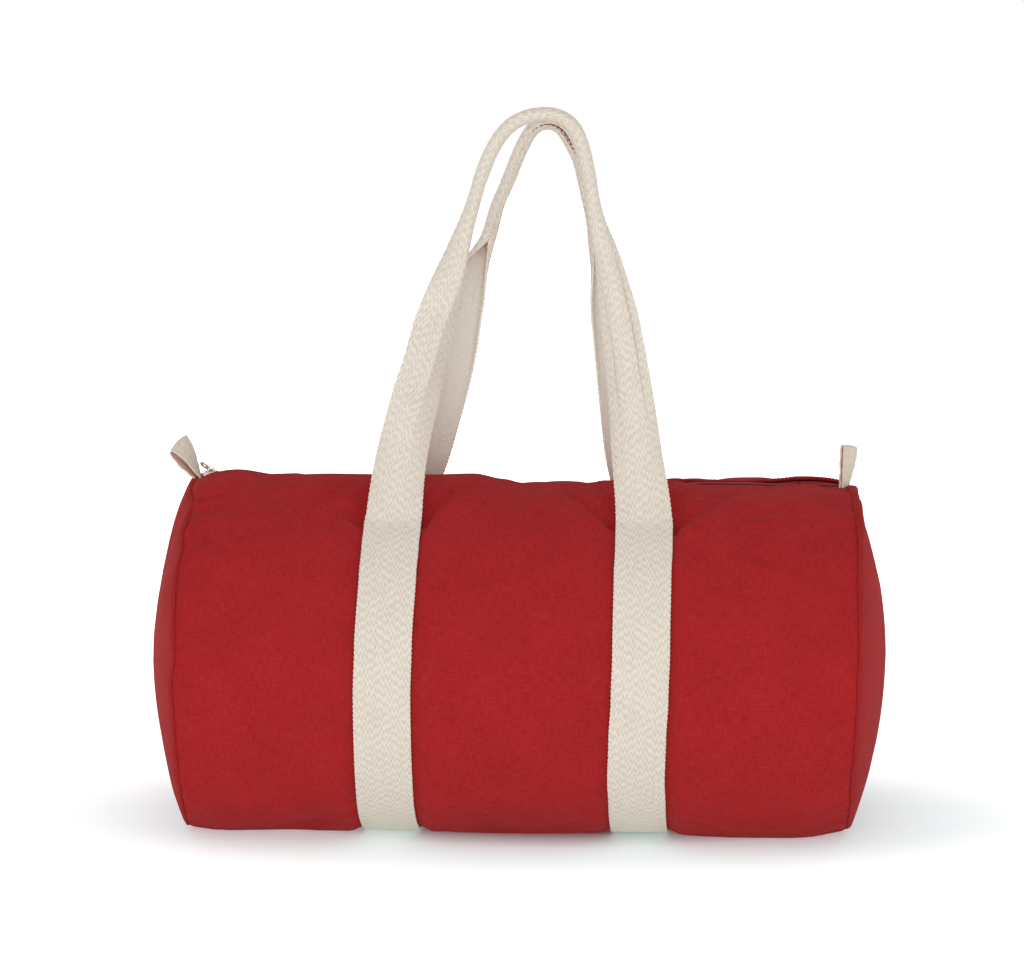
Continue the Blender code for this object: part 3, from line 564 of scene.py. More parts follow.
# how far the cloth lies outside the frame's section at a place
def clothRise(x, turn):
    shape = canvasShape
    away = fromTop(turn)
    isFront = turn % math.tau < math.pi
    rise = baySwell(x) * ease(away, 0.3, 0.9)
    crown = profile(shape["frontCrown" if isFront else "backCrown"], x)
    rise += crown * (1.0 - ease(away, *shape["crownTurns"]))
    rise -= pinchAt(x, turn)
    toSeam = body["seamAt"] - abs(x)
    rise -= body["seamDraw"] * (1.0 - ease(toSeam, 0.0, body["seamDrawLength"]))
    rise -= seamGroove(x, turn) * (1.0 - ease(toSeam, 0.0, shape["seamDipLength"]))
    ripple = noiseAt(x * 20.0, turn * 11.0, 3.7) + 0.6 * noiseAt(x * 30.0, turn * 21.0, 9.1)
    rise += shape["puckers"] * ripple * math.exp(-toSeam / shape["puckerReach"]) * ease(toSeam, 0.0, 0.004)
    fold = noiseAt(x * 14.0, turn * 2.2, 1.3) + 0.5 * noiseAt(x * 9.0, turn * 6.0, 5.9)
    rise += shape["folds"] * fold * ease(toSeam, 0.0, 0.02) * (1.0 - 0.7 * ease(pinchAt(x, turn), 0.0, 0.003))
    warp = noiseAt(x * 16.0, turn * 3.0, 12.4)
    crumple = noiseAt(x * 15.0 + 1.2 * warp, turn * 6.5 + 0.8 * warp, 21.7)
    crumple = 0.5 - 1.6 * abs(crumple) + 0.7 * noiseAt(x * 42.0, turn * 9.0 + warp, 33.1)
    strength = profile(shape["wrinkled"], away)
    rise += shape["wrinkles"] * crumple * strength * (1.0 - 0.8 * ease(pinchAt(x, turn), 0.0, 0.003))
    side = turn if isFront else math.tau - turn
    if isFront:
        for start, end, depth, width in shape["valleys"]:
            rise -= valleyDepth(x, side, start, end, depth, width)
    else:
        for start, end, depth, width in shape["valleys"][:shape["backValleys"]]:
            rise -= valleyDepth(-x + 0.001, side, start, end, depth, width)
    return rise


# a place along the bag, held still across each band so that the cloth stays flat under it
def levelAcrossStrap(x):
    for centre in webbing["centres"].values():
        reach = webbing["width"] / 2.0 + 0.003
        if abs(x - centre) < reach:
            return centre
        if abs(x - centre) < 2.0 * reach:
            return centre + math.copysign((abs(x - centre) - reach) * 2.0, x - centre)
    return x


def canvasPoint(x, turn):
    rounding = profile(canvasShape["rounding"], levelAcrossStrap(x))
    point = sectionPoint(turn, 0.0, x, rounding) + sectionNormal(turn, x) * clothRise(x, turn)
    point.x += math.copysign(1.0, x) * seamOut(x, turn) * (abs(x) / body["seamAt"]) ** 6
    if abs(x) > body["seamAt"] - canvasShape["edge"]:
        point -= sectionNormal(turn, x) * canvasShape["allowance"]
    point.z = max(point.z, body["floorGap"])
    return point


# the hem's fold, from the raw edge under the cloth to the top: how far from the middle, and how far down
hemSteps = [(0.0235, 0.0026), (0.0190, 0.0026), (0.0158, 0.0025), (0.0145, 0.0019), (0.0142, 0.0010),
            (0.0148, 0.0003), (0.0160, 0.0)]


# places along the bag where the cloth has a row of points, closer together at the end seams
def canvasStations():
    near = [body["seamAt"] - step for step in canvasShape["seamRows"]]
    inner = canvasShape["rows"] - 2 * len(near)
    last = near[-1] - canvasShape["rowGap"]
    middle = [last * (2.0 * row / inner - 1.0) for row in range(inner + 1)]
    return [-x for x in near] + middle + near[::-1]


def makeBodyCanvas():
    stations = canvasStations()
    columns, rows = canvasShape["columns"], len(stations) - 1
    count = len(hemSteps)
    first = math.asin(canvasShape["hemEnd"] / body["halfDepth"])
    inner = columns - 2 * count
    turns = [first + (math.tau - 2.0 * first) * step / inner for step in range(inner + 1)]

    def place(column, row):
        x = stations[row]
        if count <= column <= columns - count:
            return canvasPoint(x, turns[column - count])
        step = column if column < count else columns - column
        side = 1.0 if column < count else -1.0
        out, down = hemSteps[step]
        turn = math.asin(out / body["halfDepth"])
        point = canvasPoint(x, turn if side > 0.0 else math.tau - turn)
        return point - sectionNormal(turn * side, x) * down

    girth = 2.0 * math.pi * math.sqrt((body["halfDepth"] ** 2 + body["halfHeight"] ** 2) / 2.0)
    work = makeCloth(columns, rows, place, lambda column, row: (stations[row], girth * column / columns))
    return finishPiece(work, "bodyCanvas", "canvas")


# lets the cloth settle: it grows a little and is blown out, held where it is sewn or pressed
def settleCloth(piece, heldBy, settings):
    mesh = piece.data
    before = [corner.co.copy() for corner in mesh.vertices]
    held = piece.vertex_groups.new(name="held")
    for corner in mesh.vertices:
        weight = heldBy(corner.index, corner.co)
        if weight > 0.0:
            held.add([corner.index], weight, "REPLACE")
    cloth = piece.modifiers.new("settle", "CLOTH")
    cloth.settings.quality = settings["quality"]
    cloth.settings.mass = settings["mass"]
    cloth.settings.tension_stiffness = settings["tension"]
    cloth.settings.compression_stiffness = settings["tension"]
    cloth.settings.shear_stiffness = settings["shear"]
    cloth.settings.bending_stiffness = settings["bending"]
    cloth.settings.air_damping = settings["damping"]
    cloth.settings.vertex_group_mass = "held"
    cloth.settings.shrink_min = -settings["growth"]
    cloth.settings.use_pressure = True
    cloth.settings.uniform_pressure_force = settings["pressure"]
    cloth.settings.effector_weights.gravity = 0.0
    cloth.collision_settings.use_collision = False
    cloth.point_cache.frame_start = 1
    cloth.point_cache.frame_end = settings["frames"]
    for frameNumber in range(1, settings["frames"] + 1):
        bpy.context.scene.frame_set(frameNumber)
    evaluated = piece.evaluated_get(bpy.context.evaluated_depsgraph_get())
    after = [corner.co.copy() for corner in evaluated.data.vertices]
    piece.modifiers.remove(cloth)
    piece.vertex_groups.remove(held)
    bpy.context.scene.frame_set(1)
    furthest = 0.0
    for corner, start, end in zip(mesh.vertices, before, after):
        move = end - start
        furthest = max(furthest, move.length)
        if move.length > settings["most"]:
            move *= settings["most"] / move.length
        corner.co = start + move
        corner.co.z = max(corner.co.z, body["floorGap"])
    print("cloth settled:", piece.name, "moved up to", round(furthest * 1000.0, 1), "mm")


canvasSettle = {
    "pressure": 1.5, "growth": 0.010, "tension": 25.0, "shear": 12.0, "bending": 1.2, "mass": 0.3,
    "damping": 2.0, "quality": 4, "frames": 20, "most": 0.005,
    # held all the way up to the first distance and free from the second: from an end seam, from the middle of
    # the zip, above the floor, and past the edge of a band, below where the bands leave the cloth
    "seamHold": (0.001, 0.006), "mouthHold": (0.019, 0.030), "floorHold": (0.001, 0.004), "bandHold": 0.006,
    "bandTop": 0.223,
}


def heldCanvas(index, place):
    toSeam = body["seamAt"] - abs(canvasStations()[index // (canvasShape["columns"] + 1)])
    half = webbing["width"] / 2.0
    hold = 1.0 - ease(toSeam, *canvasSettle["seamHold"])
    if place.z > body["centre"]:
        hold = max(hold, 1.0 - ease(abs(place.y), *canvasSettle["mouthHold"]))
    hold = max(hold, 1.0 - ease(place.z, *canvasSettle["floorHold"]))
    if place.z < canvasSettle["bandTop"]:
        for centre in webbing["centres"].values():
            hold = max(hold, 1.0 - ease(abs(place.x - centre), half, half + canvasSettle["bandHold"]))
    return hold


bodyCanvas = makeBodyCanvas()
settleCloth(bodyCanvas, heldCanvas, canvasSettle)
wall = bodyCanvas.modifiers.new("thickness", "SOLIDIFY")
wall.thickness = body["canvas"]
wall.offset = -1.0
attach(bodyCanvas, "bag")
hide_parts("body_panel")
print("body canvas made")


# the stuffed round ends
endShape = {
    "cells": 84,
    # how far each end stands out, how it rounds over above and below, and how it leaves the seam by the turn
    "left": {"bulge": 0.0260, "above": 1.7, "below": 1.65,
             "fullness": [(0.0, 0.76), (0.30, 0.78), (0.75, 0.90)]},
    "right": {"bulge": 0.0252, "above": 2.15, "below": 2.0,
              "fullness": [(0.0, 1.05), (0.30, 1.05), (0.85, 0.95)]},
    # a puffed fold above, just inside the seam
    "shoulder": {"left": 0.0, "right": 0.0044},
    "shoulderAt": 0.965,
    "puckers": 0.0009,
    "slack": 0.0012,
    "thickness": 0.0011,
}


def makeEndPanel(end, side):
    cells, dome = endShape["cells"], endShape[end]
    rounding = profile(canvasShape["rounding"], side * body["seamAt"])

    def place(column, row):
        u, v = 2.0 * column / cells - 1.0, 2.0 * row / cells - 1.0
        flatX, flatY = u * math.sqrt(1.0 - v * v / 2.0), v * math.sqrt(1.0 - u * u / 2.0)
        radius = min(math.hypot(flatX, flatY), 1.0)
        share = min(1.0 - (1.0 - radius) ** 1.5 + (1.0 / cells) ** 1.5, 1.0) if radius > 0.5 else radius
        turn = math.atan2(-flatX, flatY)
        power = mix(dome["above"], dome["below"], ease(fromTop(turn), 1.2, 1.9))
        reach = dome["bulge"] * (1.0 - share ** power) ** profile(dome["fullness"], fromTop(turn))
        puff = endShape["shoulder"][end] * bell(share - endShape["shoulderAt"], 0.045) * (1.0 - share ** 30)
        puff *= 1.0 - ease(fromTop(turn), 0.3, 0.9)
        inset = body["seamDraw"] + seamGroove(side, turn) * ease(share, 0.965, 1.0)
        if radius > 1.0 - 0.5 / cells:
            inset += canvasShape["allowance"]
        rim = sectionPoint(turn, inset, side * body["seamAt"], rounding)
        ripple = noiseAt(turn * 5.0 + side, math.sin(turn) * 7.0, 2.0 + side)
        ripple += 0.5 * noiseAt(turn * 13.0, share * 4.0, 7.0 + side)
        pucker = endShape["puckers"] * ripple * ease(share, 0.75, 0.96) * (1.0 - ease(share, 0.985, 1.0))
        slack = endShape["slack"] * noiseAt(flatX * 2.5, flatY * 2.5, 4.0 + side)
        slack *= 1.0 - ease(share, 0.8, 1.0)
        x = side * (body["seamAt"] + reach + puff + pucker + slack + seamOut(side, turn) * share ** 2)
        z = body["centre"] + (rim.z - body["centre"]) * share + puff
        return Vector((x, rim.y * share, max(z, body["floorGap"])))

    def clothPlace(column, row):
        size = 2.0 * body["halfDepth"]
        return (size * column / cells, size * row / cells)

    work = makeCloth(cells, cells, place, clothPlace, flip=side > 0)
    return finishPiece(work, "endCanvas" + end.capitalize(), "canvas", endShape["thickness"])


for end, side in (("left", -1.0), ("right", 1.0)):
    panel = makeEndPanel(end, side)
    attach(panel, "bag")
    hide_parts("end_panel_" + end)
print("end panels made")


# binding over the raw seams inside
binding = {
    "width": 0.012,
    "length": 0.78,
    "setback": 0.0182,          # how far from the middle of the zip it starts
    "fromSeam": 0.0020,
    "inset": 0.0043,
    "wave": 0.0003,
    "thickness": 0.0008,
    "columns": 8,
    "rows": 150,
}


def makeBinding(end, side):
    first = math.asin(binding["setback"] / body["halfDepth"])
    far = body["seamAt"] - binding["fromSeam"]

    def place(column, row):
        turn = first + (math.tau - 2.0 * first) * row / binding["rows"]
        x = side * (far + seamOut(side, turn) - binding["width"] * column / binding["columns"])
        wave = binding["wave"] * noiseAt(turn * 18.0, column * 0.7, side)
        return sectionPoint(turn, binding["inset"] + abs(wave), x)

    def clothPlace(column, row):
        return (binding["width"] * column / binding["columns"], binding["length"] * row / binding["rows"])

    work = makeCloth(binding["columns"], binding["rows"], place, clothPlace, flip=side > 0)
    return finishPiece(work, "seamBinding" + end.capitalize(), "binding", binding["thickness"])


for end, side in (("left", -1.0), ("right", 1.0)):
    tape = makeBinding(end, side)
    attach(tape, "bag")
    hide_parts("seam_binding_" + end)
print("seam bindings made")


# height of the yarn at a place on the webbing, 1 on top of a float and -1 between floats
def yarnHeight(across, along):
    yarn = math.floor(across / webbing["yarnPitch"] + 0.5)
    shift = webbing["shift"] * math.sin(yarn * webbing["shiftTurn"])
    shift += webbing["sway"] * math.sin(along * webbing["swayTurn"] + yarn * webbing["swayStep"])
    lattice = math.cos(math.pi * across / webbing["yarnPitch"])
    lattice *= math.cos(math.pi * (along / webbing["pickLength"] + shift))
    return math.copysign(abs(lattice) ** 0.75, lattice)


# a list with one more item close to each end, so that light runs evenly up to an edge
def edged(items, between):
    first, last = between(items[0], items[1], 0.15), between(items[-1], items[-2], 0.15)
    return [items[0], first] + items[1:-1] + [last, items[-1]]


# webbing laid through ready sections, each a list of points across it, raised by its yarns
def makeWebbing(name, sections, alongs, flip, calm):
    half = webbing["width"] / 2.0
    whole = max(1, round(alongs[-1] / (2.0 * webbing["pickLength"]))) * 2.0 * webbing["pickLength"]
    alongs = [along * whole / alongs[-1] for along in alongs]
    shares = edged([column / webbing["columns"] for column in range(webbing["columns"] + 1)], mix)
    sections = [edged(row, Vector.lerp) for row in sections]
    sections = edged(sections, lambda first, second, share: [a.lerp(b, share) for a, b in zip(first, second)])
    alongs, calm = edged(alongs, mix), edged(calm, mix)
    columns, rows = len(shares) - 1, len(sections) - 1

    # yarns wander a little, but meet the next piece of webbing as they left the last
    def clothPlace(column, row):
        across, along = mix(-half, half, shares[column]), alongs[row]
        free = ease(min(along, whole - along), 0.0, 0.01)
        drift = noiseAt(across * 260.0, along * 130.0, 1.7)
        slide = noiseAt(across * 640.0, along * 120.0, 8.3)
        return across + webbing["drift"] * drift * free, along + webbing["slide"] * slide * free

    work = makeCloth(columns, rows, lambda column, row: sections[row][column], clothPlace, flip)
    work.verts.ensure_lookup_table()
    work.normal_update()
    raised = []
    for corner in work.verts:
        row, column = divmod(corner.index, columns + 1)
        across = mix(-half, half, shares[column])
        uneven = 0.85 + 0.7 * noiseAt(across * 420.0, alongs[row] * 260.0, 5.1)
        height = yarnHeight(*clothPlace(column, row)) * webbing["bump"] * uneven * (1.0 - calm[row])
        fringe = ease(abs(across), half - webbing["fringe"], half)
        outward = (sections[row][columns] - sections[row][0]).normalized() * math.copysign(1.0, across)
        swing = math.cos(math.tau * alongs[row] / webbing["pickLength"]) * webbing["scallop"] * fringe
        raised.append(corner.co + corner.normal * (height * (1.0 - 0.6 * fringe)) + outward * swing)
    for corner, place in zip(work.verts, raised):
        corner.co = place
    return finishPiece(work, name, "webbing", webbing["thickness"])


# points spaced evenly along a path of points
def evenly(points, spacing):
    lengths = [0.0]
    for before, after in zip(points, points[1:]):
        lengths.append(lengths[-1] + (after - before).length)
    count = max(2, round(lengths[-1] / spacing))
    result, index = [], 0
    for step in range(count + 1):
        target = lengths[-1] * step / count
        while index < len(points) - 2 and lengths[index + 1] < target:
            index += 1
        span = lengths[index + 1] - lengths[index]
        share = (target - lengths[index]) / span if span else 0.0
        result.append(points[index].lerp(points[index + 1], min(max(share, 0.0), 1.0)))
    return result


def makeStrap(end, centre):
    start = webbing["stitchTurn"] + webbing["setback"]
    steps = 1200
    turns = [start + (math.tau - 2.0 * start) * step / steps for step in range(steps + 1)]
    rounding = profile(canvasShape["rounding"], centre)
    path = evenly([sectionPoint(turn, webbing["outerInset"], 0.0, rounding) for turn in turns],
                  webbing["rowLength"])
    columns, half = webbing["columns"], webbing["width"] / 2.0
    sections, alongs, along = [], [], 0.0
    for index, point in enumerate(path):
        if index:
            along += (point - path[index - 1]).length
        turn = math.atan2(-point.y / body["halfDepth"], (point.z - body["centre"]) / body["halfHeight"])
        middle = bandCentre(end, turn) + 0.0003 * noiseAt(along * 9.0, centre * 40.0, 0.5)
        sections.append([point + Vector((middle + mix(-half, half, column / columns), 0.0, 0.0))
                         for column in range(columns + 1)])
        alongs.append(along)
    calm = [webbing["sewnCalm"] * bell(min(place, along - place), 0.004) for place in alongs]
    return makeWebbing("strap" + end.capitalize(), sections, alongs, True, calm)


for end, centre in webbing["centres"].items():
    strap = makeStrap(end, centre)
    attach(strap, "bag")
    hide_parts("strap_" + end)
print("straps made")


# each leg leaves its strap flat, cups outward as it rises and closes into a rolled grip
handleShape = {
    "narrowed": 0.0272,         # seen width where the webbing starts to roll
    "gripCloth": 0.0342,        # width of the webbing once it is rolled tight
    "looseSides": (0.0052, 0.0056),     # half sizes of the roll where it closes, across and deep
    "gripSides": (0.0045, 0.0063),      # and in the grip
    "tightening": (0.185, 0.216),       # heights between which the first becomes the second
    "closing": 0.998,           # how nearly its two edges meet
    "routeSpacing": 0.002,
    "routeSmoothing": 14,       # times that its points are eased into a smooth route
    "pathSmoothing": 16,
    "leaving": (0.003, 0.020),  # between these distances from its sewn end it leaves the strap's direction
    "turning": 0.012,           # and over this it turns across its own run
    "calm": 0.45,               # how much flatter the weave lies in the grip
}
handleRoutes = {
    "front": {
        "lean": math.radians(11.5), "inwardSign": 1.0, "gripWidth": 0.0094,
        "route": [(-0.0830, 0.000), (-0.0775, 0.040), (-0.0652, 0.094), (-0.0535, 0.138), (-0.0404, 0.182),
                  (-0.0305, 0.213), (-0.0247, 0.233), (-0.0161, 0.2536), (-0.0030, 0.2690), (0.0184, 0.2745),
                  (0.0350, 0.2685), (0.0425, 0.2530), (0.0485, 0.2255), (0.0520, 0.205), (0.0588, 0.183),
                  (0.0635, 0.160), (0.0703, 0.124), (0.0766, 0.080), (0.0815, 0.035), (0.0840, 0.000)],
        # for each leg: the heights where it folds up, how far the cup turns to one side by height, how much
        # of its creases there is by height, and the creases as (place across, degrees, softness); a crease
        # at a negative place is on the side that is further from the other leg
        "legs": {
            "left": {"fold": (0.125, 0.222), "turn": [(0.02, 0.0), (0.11, 14.0), (0.19, 12.0), (0.235, 0.0)],
                     "creased": [(0.03, 0.0), (0.11, 1.0), (0.175, 0.9), (0.215, 0.0)],
                     "creases": [(-0.13, -20.0, 0.03), (-0.09, 24.0, 0.03), (0.05, 52.0, 0.03)]},
            "right": {"fold": (0.125, 0.222), "turn": [(0.02, 0.0), (0.12, 8.0), (0.19, 8.0), (0.235, 0.0)],
                      "creased": [(0.05, 0.0), (0.13, 1.0), (0.19, 1.0), (0.218, 0.0)],
                      "creases": [(-0.250, -68.0, 0.018), (-0.318, 128.0, 0.014), (0.17, 46.0, 0.02),
                                  (0.27, -80.0, 0.015)]},
        },
        # how much wider the roll stays open, by the share of the handle's length
        "mouth": [(0.0, 0.0)],
    },
    "back": {
        "lean": math.radians(-12.0), "inwardSign": -1.0, "gripWidth": 0.0091,
        "route": [(-0.0830, 0.000), (-0.0745, 0.015), (-0.0652, 0.040), (-0.0472, 0.100), (-0.0357, 0.155),
                  (-0.0226, 0.185), (-0.0190, 0.198), (-0.0152, 0.212), (-0.0089, 0.225), (-0.0042, 0.238),
                  (0.0013, 0.251), (0.0082, 0.264), (0.0170, 0.2690), (0.0275, 0.2665), (0.0359, 0.251),
                  (0.0413, 0.238), (0.0434, 0.225), (0.0461, 0.212), (0.0495, 0.198), (0.0509, 0.185),
                  (0.0565, 0.165), (0.0615, 0.127), (0.0690, 0.069), (0.0715, 0.050), (0.0740, 0.033),
                  (0.0780, 0.015), (0.0815, 0.005), (0.0840, 0.000)],
        "legs": {
            "left": {"fold": (0.140, 0.196),
                     "turn": [(0.02, 0.0), (0.12, 8.0), (0.18, 0.0), (0.20, -14.0), (0.25, 0.0)],
                     "creased": [(0.0, 0.0)], "creases": []},
            "right": {"fold": (0.125, 0.205), "turn": [(0.02, 0.0), (0.12, 6.0), (0.19, 6.0), (0.24, 0.0)],
                      "creased": [(0.0, 0.0)], "creases": []},
        },
        "mouth": [(0.480, 0.0), (0.535, 0.08), (0.568, 0.0)],
    },
}


# a smooth curve through a route's points
def smoothRoute(route, steps):
    points = [Vector((x, h, 0.0)) for x, h in route]
    padded = [points[0] * 2.0 - points[1]] + points + [points[-1] * 2.0 - points[-2]]
    curve = []
    for index in range(1, len(padded) - 2):
        before, start, end, after = padded[index - 1:index + 3]
        for step in range(steps):
            t = step / steps
            curve.append(0.5 * (2.0 * start + (end - before) * t
                                + (2.0 * before - 5.0 * start + 4.0 * end - after) * t * t
                                + (3.0 * start - before - 3.0 * end + after) * t ** 3))
    curve.append(points[-1])
    return curve


# the middle of each point's neighbours, over and over, ends held
def relaxed(points, times):
    for _ in range(times):
        points = [points[0]] + [(before + here * 2.0 + after) / 4.0
                                for before, here, after in zip(points, points[1:], points[2:])] + [points[-1]]
    return points


# direction of the closed oval's side at each share of its length round from the front
def ovalDirections(across, deep, steps=240):
    lengths, directions = [0.0], [0.0]
    for step in range(1, steps + 1):
        t = math.pi * (step - 0.5) / steps
        lengths.append(lengths[-1] + math.hypot(across * math.cos(t), deep * math.sin(t)))
        t = math.pi * step / steps
        directions.append(math.atan2(deep * math.sin(t), across * math.cos(t)))
    return [length / lengths[-1] for length in lengths], directions


ovals = [ovalDirections(*handleShape["looseSides"]), ovalDirections(*handleShape["gripSides"])]


def ovalTurn(oval, share):
    shares, turns = oval
    place = min(abs(share) * 2.0, 1.0)
    low, high = 0, len(shares) - 1
    while high - low > 1:
        middle = (low + high) // 2
        if shares[middle] > place:
            high = middle
        else:
            low = middle
    return mix(turns[low], turns[high], (place - shares[low]) / (shares[high] - shares[low]))


# the direction of the roll's side at each step out from its front line
def rollTurns(closing, tight):
    halves = [(index + 0.5) / webbing["columns"] * closing for index in range(webbing["columns"] // 2)]
    return [mix(ovalTurn(ovals[0], share), ovalTurn(ovals[1], share), tight) for share in halves]


# the webbing's section: points (across, deep) from one edge to the other, laid out from its middle line
def sectionAcross(cloth, fold, rolled, turn, creases):
    columns = webbing["columns"]
    step = cloth / columns
    sides = []
    for side in (1.0, -1.0):
        place, points = Vector((0.0, 0.0)), []
        for index in range(columns // 2):
            share = side * (index + 0.5) / columns
            angle = turn + fold * rolled[index] * side
            for at, crease, soft in creases:
                angle += crease * ease((share - at) * math.copysign(1.0, at), -soft, soft)
            place = place + Vector((math.cos(angle), math.sin(angle))) * (step * side)
            points.append(place)
        sides.append(points)
    return sides[1][::-1] + [Vector((0.0, 0.0))] + sides[0]


def seenWidth(points):
    return max(point.x for point in points) - min(point.x for point in points)


# folds the section further until it is seen as wide as the target
def foldedSection(cloth, target, rolled, turn, creases):
    low, high = 0.0, 1.0
    for _ in range(11):
        fold = (low + high) / 2.0
        if seenWidth(sectionAcross(cloth, fold, rolled, turn, creases)) > target:
            low = fold
        else:
            high = fold
    points = sectionAcross(cloth, high, rolled, turn, creases)
    middle = (max(point.x for point in points) + min(point.x for point in points)) / 2.0
    front = min(point.y for point in points)
    return [Vector((point.x - middle, point.y - front)) for point in points]


# the front line of a handle in space, from the left seam to the right one
def handlePath(face, hinge, hingeTurn, upward):
    sewnTurn = hingeTurn + webbing["setback"] * (1.0 if face == "front" else -1.0)
    sewn = sectionPoint(sewnTurn, webbing["outerInset"])
    route = evenly(smoothRoute(handleRoutes[face]["route"], 12), handleShape["routeSpacing"])
    route = relaxed(route, handleShape["routeSmoothing"])
    path = []
    for point in route:
        end = sideName(point.x)
        stray = (bandCentre(end, sewnTurn) - webbing["centres"][end]) * (1.0 - ease(point.y, 0.0, 0.05))
        path.append(hinge + Vector((point.x + stray, 0.0, 0.0)) + upward * point.y)
    left, right = path[0].x, path[-1].x
    path = [Vector((left, sewn.y, sewn.z))] + path + [Vector((right, sewn.y, sewn.z))]
    return relaxed(evenly(path, webbing["rowLength"]), handleShape["pathSmoothing"])


def makeHandle(face):
    shape = handleRoutes[face]
    lean, sign = shape["lean"], shape["inwardSign"]
    upward = Vector((0.0, math.sin(lean), math.cos(lean)))
    planeInward = Vector((0.0, math.cos(lean), -math.sin(lean))) * sign
    hingeTurn = webbing["stitchTurn"] if face == "front" else math.tau - webbing["stitchTurn"]
    hinge = sectionPoint(hingeTurn, webbing["outerInset"])
    surfaceInward = -sectionNormal(hingeTurn)
    path = handlePath(face, hinge, hingeTurn, upward)
    total = len(path) - 1
    lengthUp = [0.0]
    for before, after in zip(path, path[1:]):
        lengthUp.append(lengthUp[-1] + (after - before).length)
    length = lengthUp[-1]

    sections, calm = [], []
    for index, point in enumerate(path):
        along = lengthUp[index]
        fromEnd = min(along, length - along)
        height = max((point - hinge).dot(upward), 0.0)
        run = (path[min(index + 1, total)] - path[max(index - 1, 0)]).normalized()
        isLeft = along < length / 2.0
        leg = shape["legs"]["left" if isLeft else "right"]
        inward = surfaceInward.lerp(planeInward, ease(fromEnd, *handleShape["leaving"]))
        inward = (inward - run * inward.dot(run)).normalized()
        across = inward.cross(run) * sign
        flatAcross = Vector((1.0 if isLeft else -1.0, 0.0, 0.0))
        across = flatAcross.lerp(across, ease(fromEnd, 0.0, handleShape["turning"])).normalized()
        closed = ease(height, *leg["fold"])
        narrowing = min(height / leg["fold"][0], 1.0)
        target = mix(webbing["width"], handleShape["narrowed"], narrowing)
        target = mix(target, shape["gripWidth"], closed)
        cloth = mix(webbing["width"], handleShape["gripCloth"], closed)
        turn = math.radians(profile(leg["turn"], height))
        creased = profile(leg["creased"], height)
        creases = [(at, math.radians(angle) * creased, soft) for at, angle, soft in leg["creases"]]
        closing = handleShape["closing"] - profile(shape["mouth"], along / length)
        rolled = rollTurns(closing, ease(height, *handleShape["tightening"]))
        outline = foldedSection(cloth, target, rolled, turn, creases)
        sections.append([point + across * spot.x + inward * spot.y for spot in outline])
        calm.append(max(handleShape["calm"] * closed, webbing["sewnCalm"] * bell(fromEnd, 0.004)))
    mouth = {"path": [(row[0] + row[-1]) / 2.0 for row in sections], "hinge": hinge, "upward": upward,
             "inward": planeInward}
    piece = makeWebbing("handle" + face.capitalize(), sections, lengthUp, face == "back", calm)
    return piece, hinge, upward, mouth


gripMouths = {}                 # where the two edges of each grip meet, for its stitches
for face in ("front", "back"):
    handle, hinge, upward, gripMouths[face] = makeHandle(face)
    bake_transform(handle)
    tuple(hinge)
    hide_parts("handle_" + face)
print("handles made")


# a row of stitches: each is a small grain of thread laid from one point to the next, partly sunk in
def makeStitches(name, slot, path, outwards, settings):
    work = bmesh.new()
    count = max(1, round(pathLength(path) / settings["pitch"]))
    points = evenly(path, pathLength(path) / count)
    for index, (start, end) in enumerate(zip(points, points[1:])):
        run = end - start
        out = outwards((start + end) / 2.0)
        side = run.cross(out).normalized()
        up = side.cross(run).normalized()
        half = run.length * settings["cover"] / 2.0
        thick = settings["radius"]
        sway = 0.00012 * math.sin(index * 2.4)
        stitch = Matrix((run.normalized() * half, side * thick, up * thick * 0.9)).transposed().to_4x4()
        stitch.translation = (start + end) / 2.0 + up * settings["proud"] + side * sway
        bmesh.ops.create_uvsphere(work, u_segments=6, v_segments=5, radius=1.0,
                                  matrix=stitch @ Matrix.Rotation(math.pi / 2.0, 4, "Y"))
    bmesh.ops.recalc_face_normals(work, faces=work.faces)
    return finishPiece(work, name, slot)


def pathLength(points):
    return sum((after - before).length for before, after in zip(points, points[1:]))


strapStitch = {"pitch": 0.0031, "cover": 0.84, "radius": 0.00030, "proud": -0.00006, "inset": 0.0022}
for face in ("front", "back"):
    direction = 1.0 if face == "front" else -1.0
    for end, centre in webbing["centres"].items():
        rounding = profile(canvasShape["rounding"], centre)
        turn = direction * (webbing["stitchTurn"] + webbing["setback"])
        out = sectionNormal(turn % math.tau)
        reach = webbing["width"] / 2.0 - strapStitch["inset"]
        level = sectionPoint(turn % math.tau, webbing["outerInset"], 0.0, rounding)
        middle = bandCentre(end, turn)
        row = [level + Vector((middle + reach * share / 10.0, 0.0, 0.0)) for share in range(-10, 11)]
        stitches = makeStitches("strapStitches" + face.capitalize() + end.capitalize(), "thread", row,
                                lambda place: out, strapStitch)
        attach(stitches, "bag")
        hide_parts("strap_stitches_" + face + "_" + end)
print("strap stitches made")


# the grip's two edges are caught together along its mouth
gripStitch = {"pitch": 0.0036, "cover": 0.8, "radius": 0.00034, "proud": 0.0001, "from": 0.216}
for face in ("front", "back"):
    mouth = gripMouths[face]
    row = relaxed([spot for spot in mouth["path"]
                   if (spot - mouth["hinge"]).dot(mouth["upward"]) > gripStitch["from"]], 4)
    stitches = makeStitches("gripStitches" + face.capitalize(), "thread", row, lambda place: mouth["inward"],
                            gripStitch)
    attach(stitches, face + "_handle")
    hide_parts("grip_stitches_" + face)
print("grip stitches made")


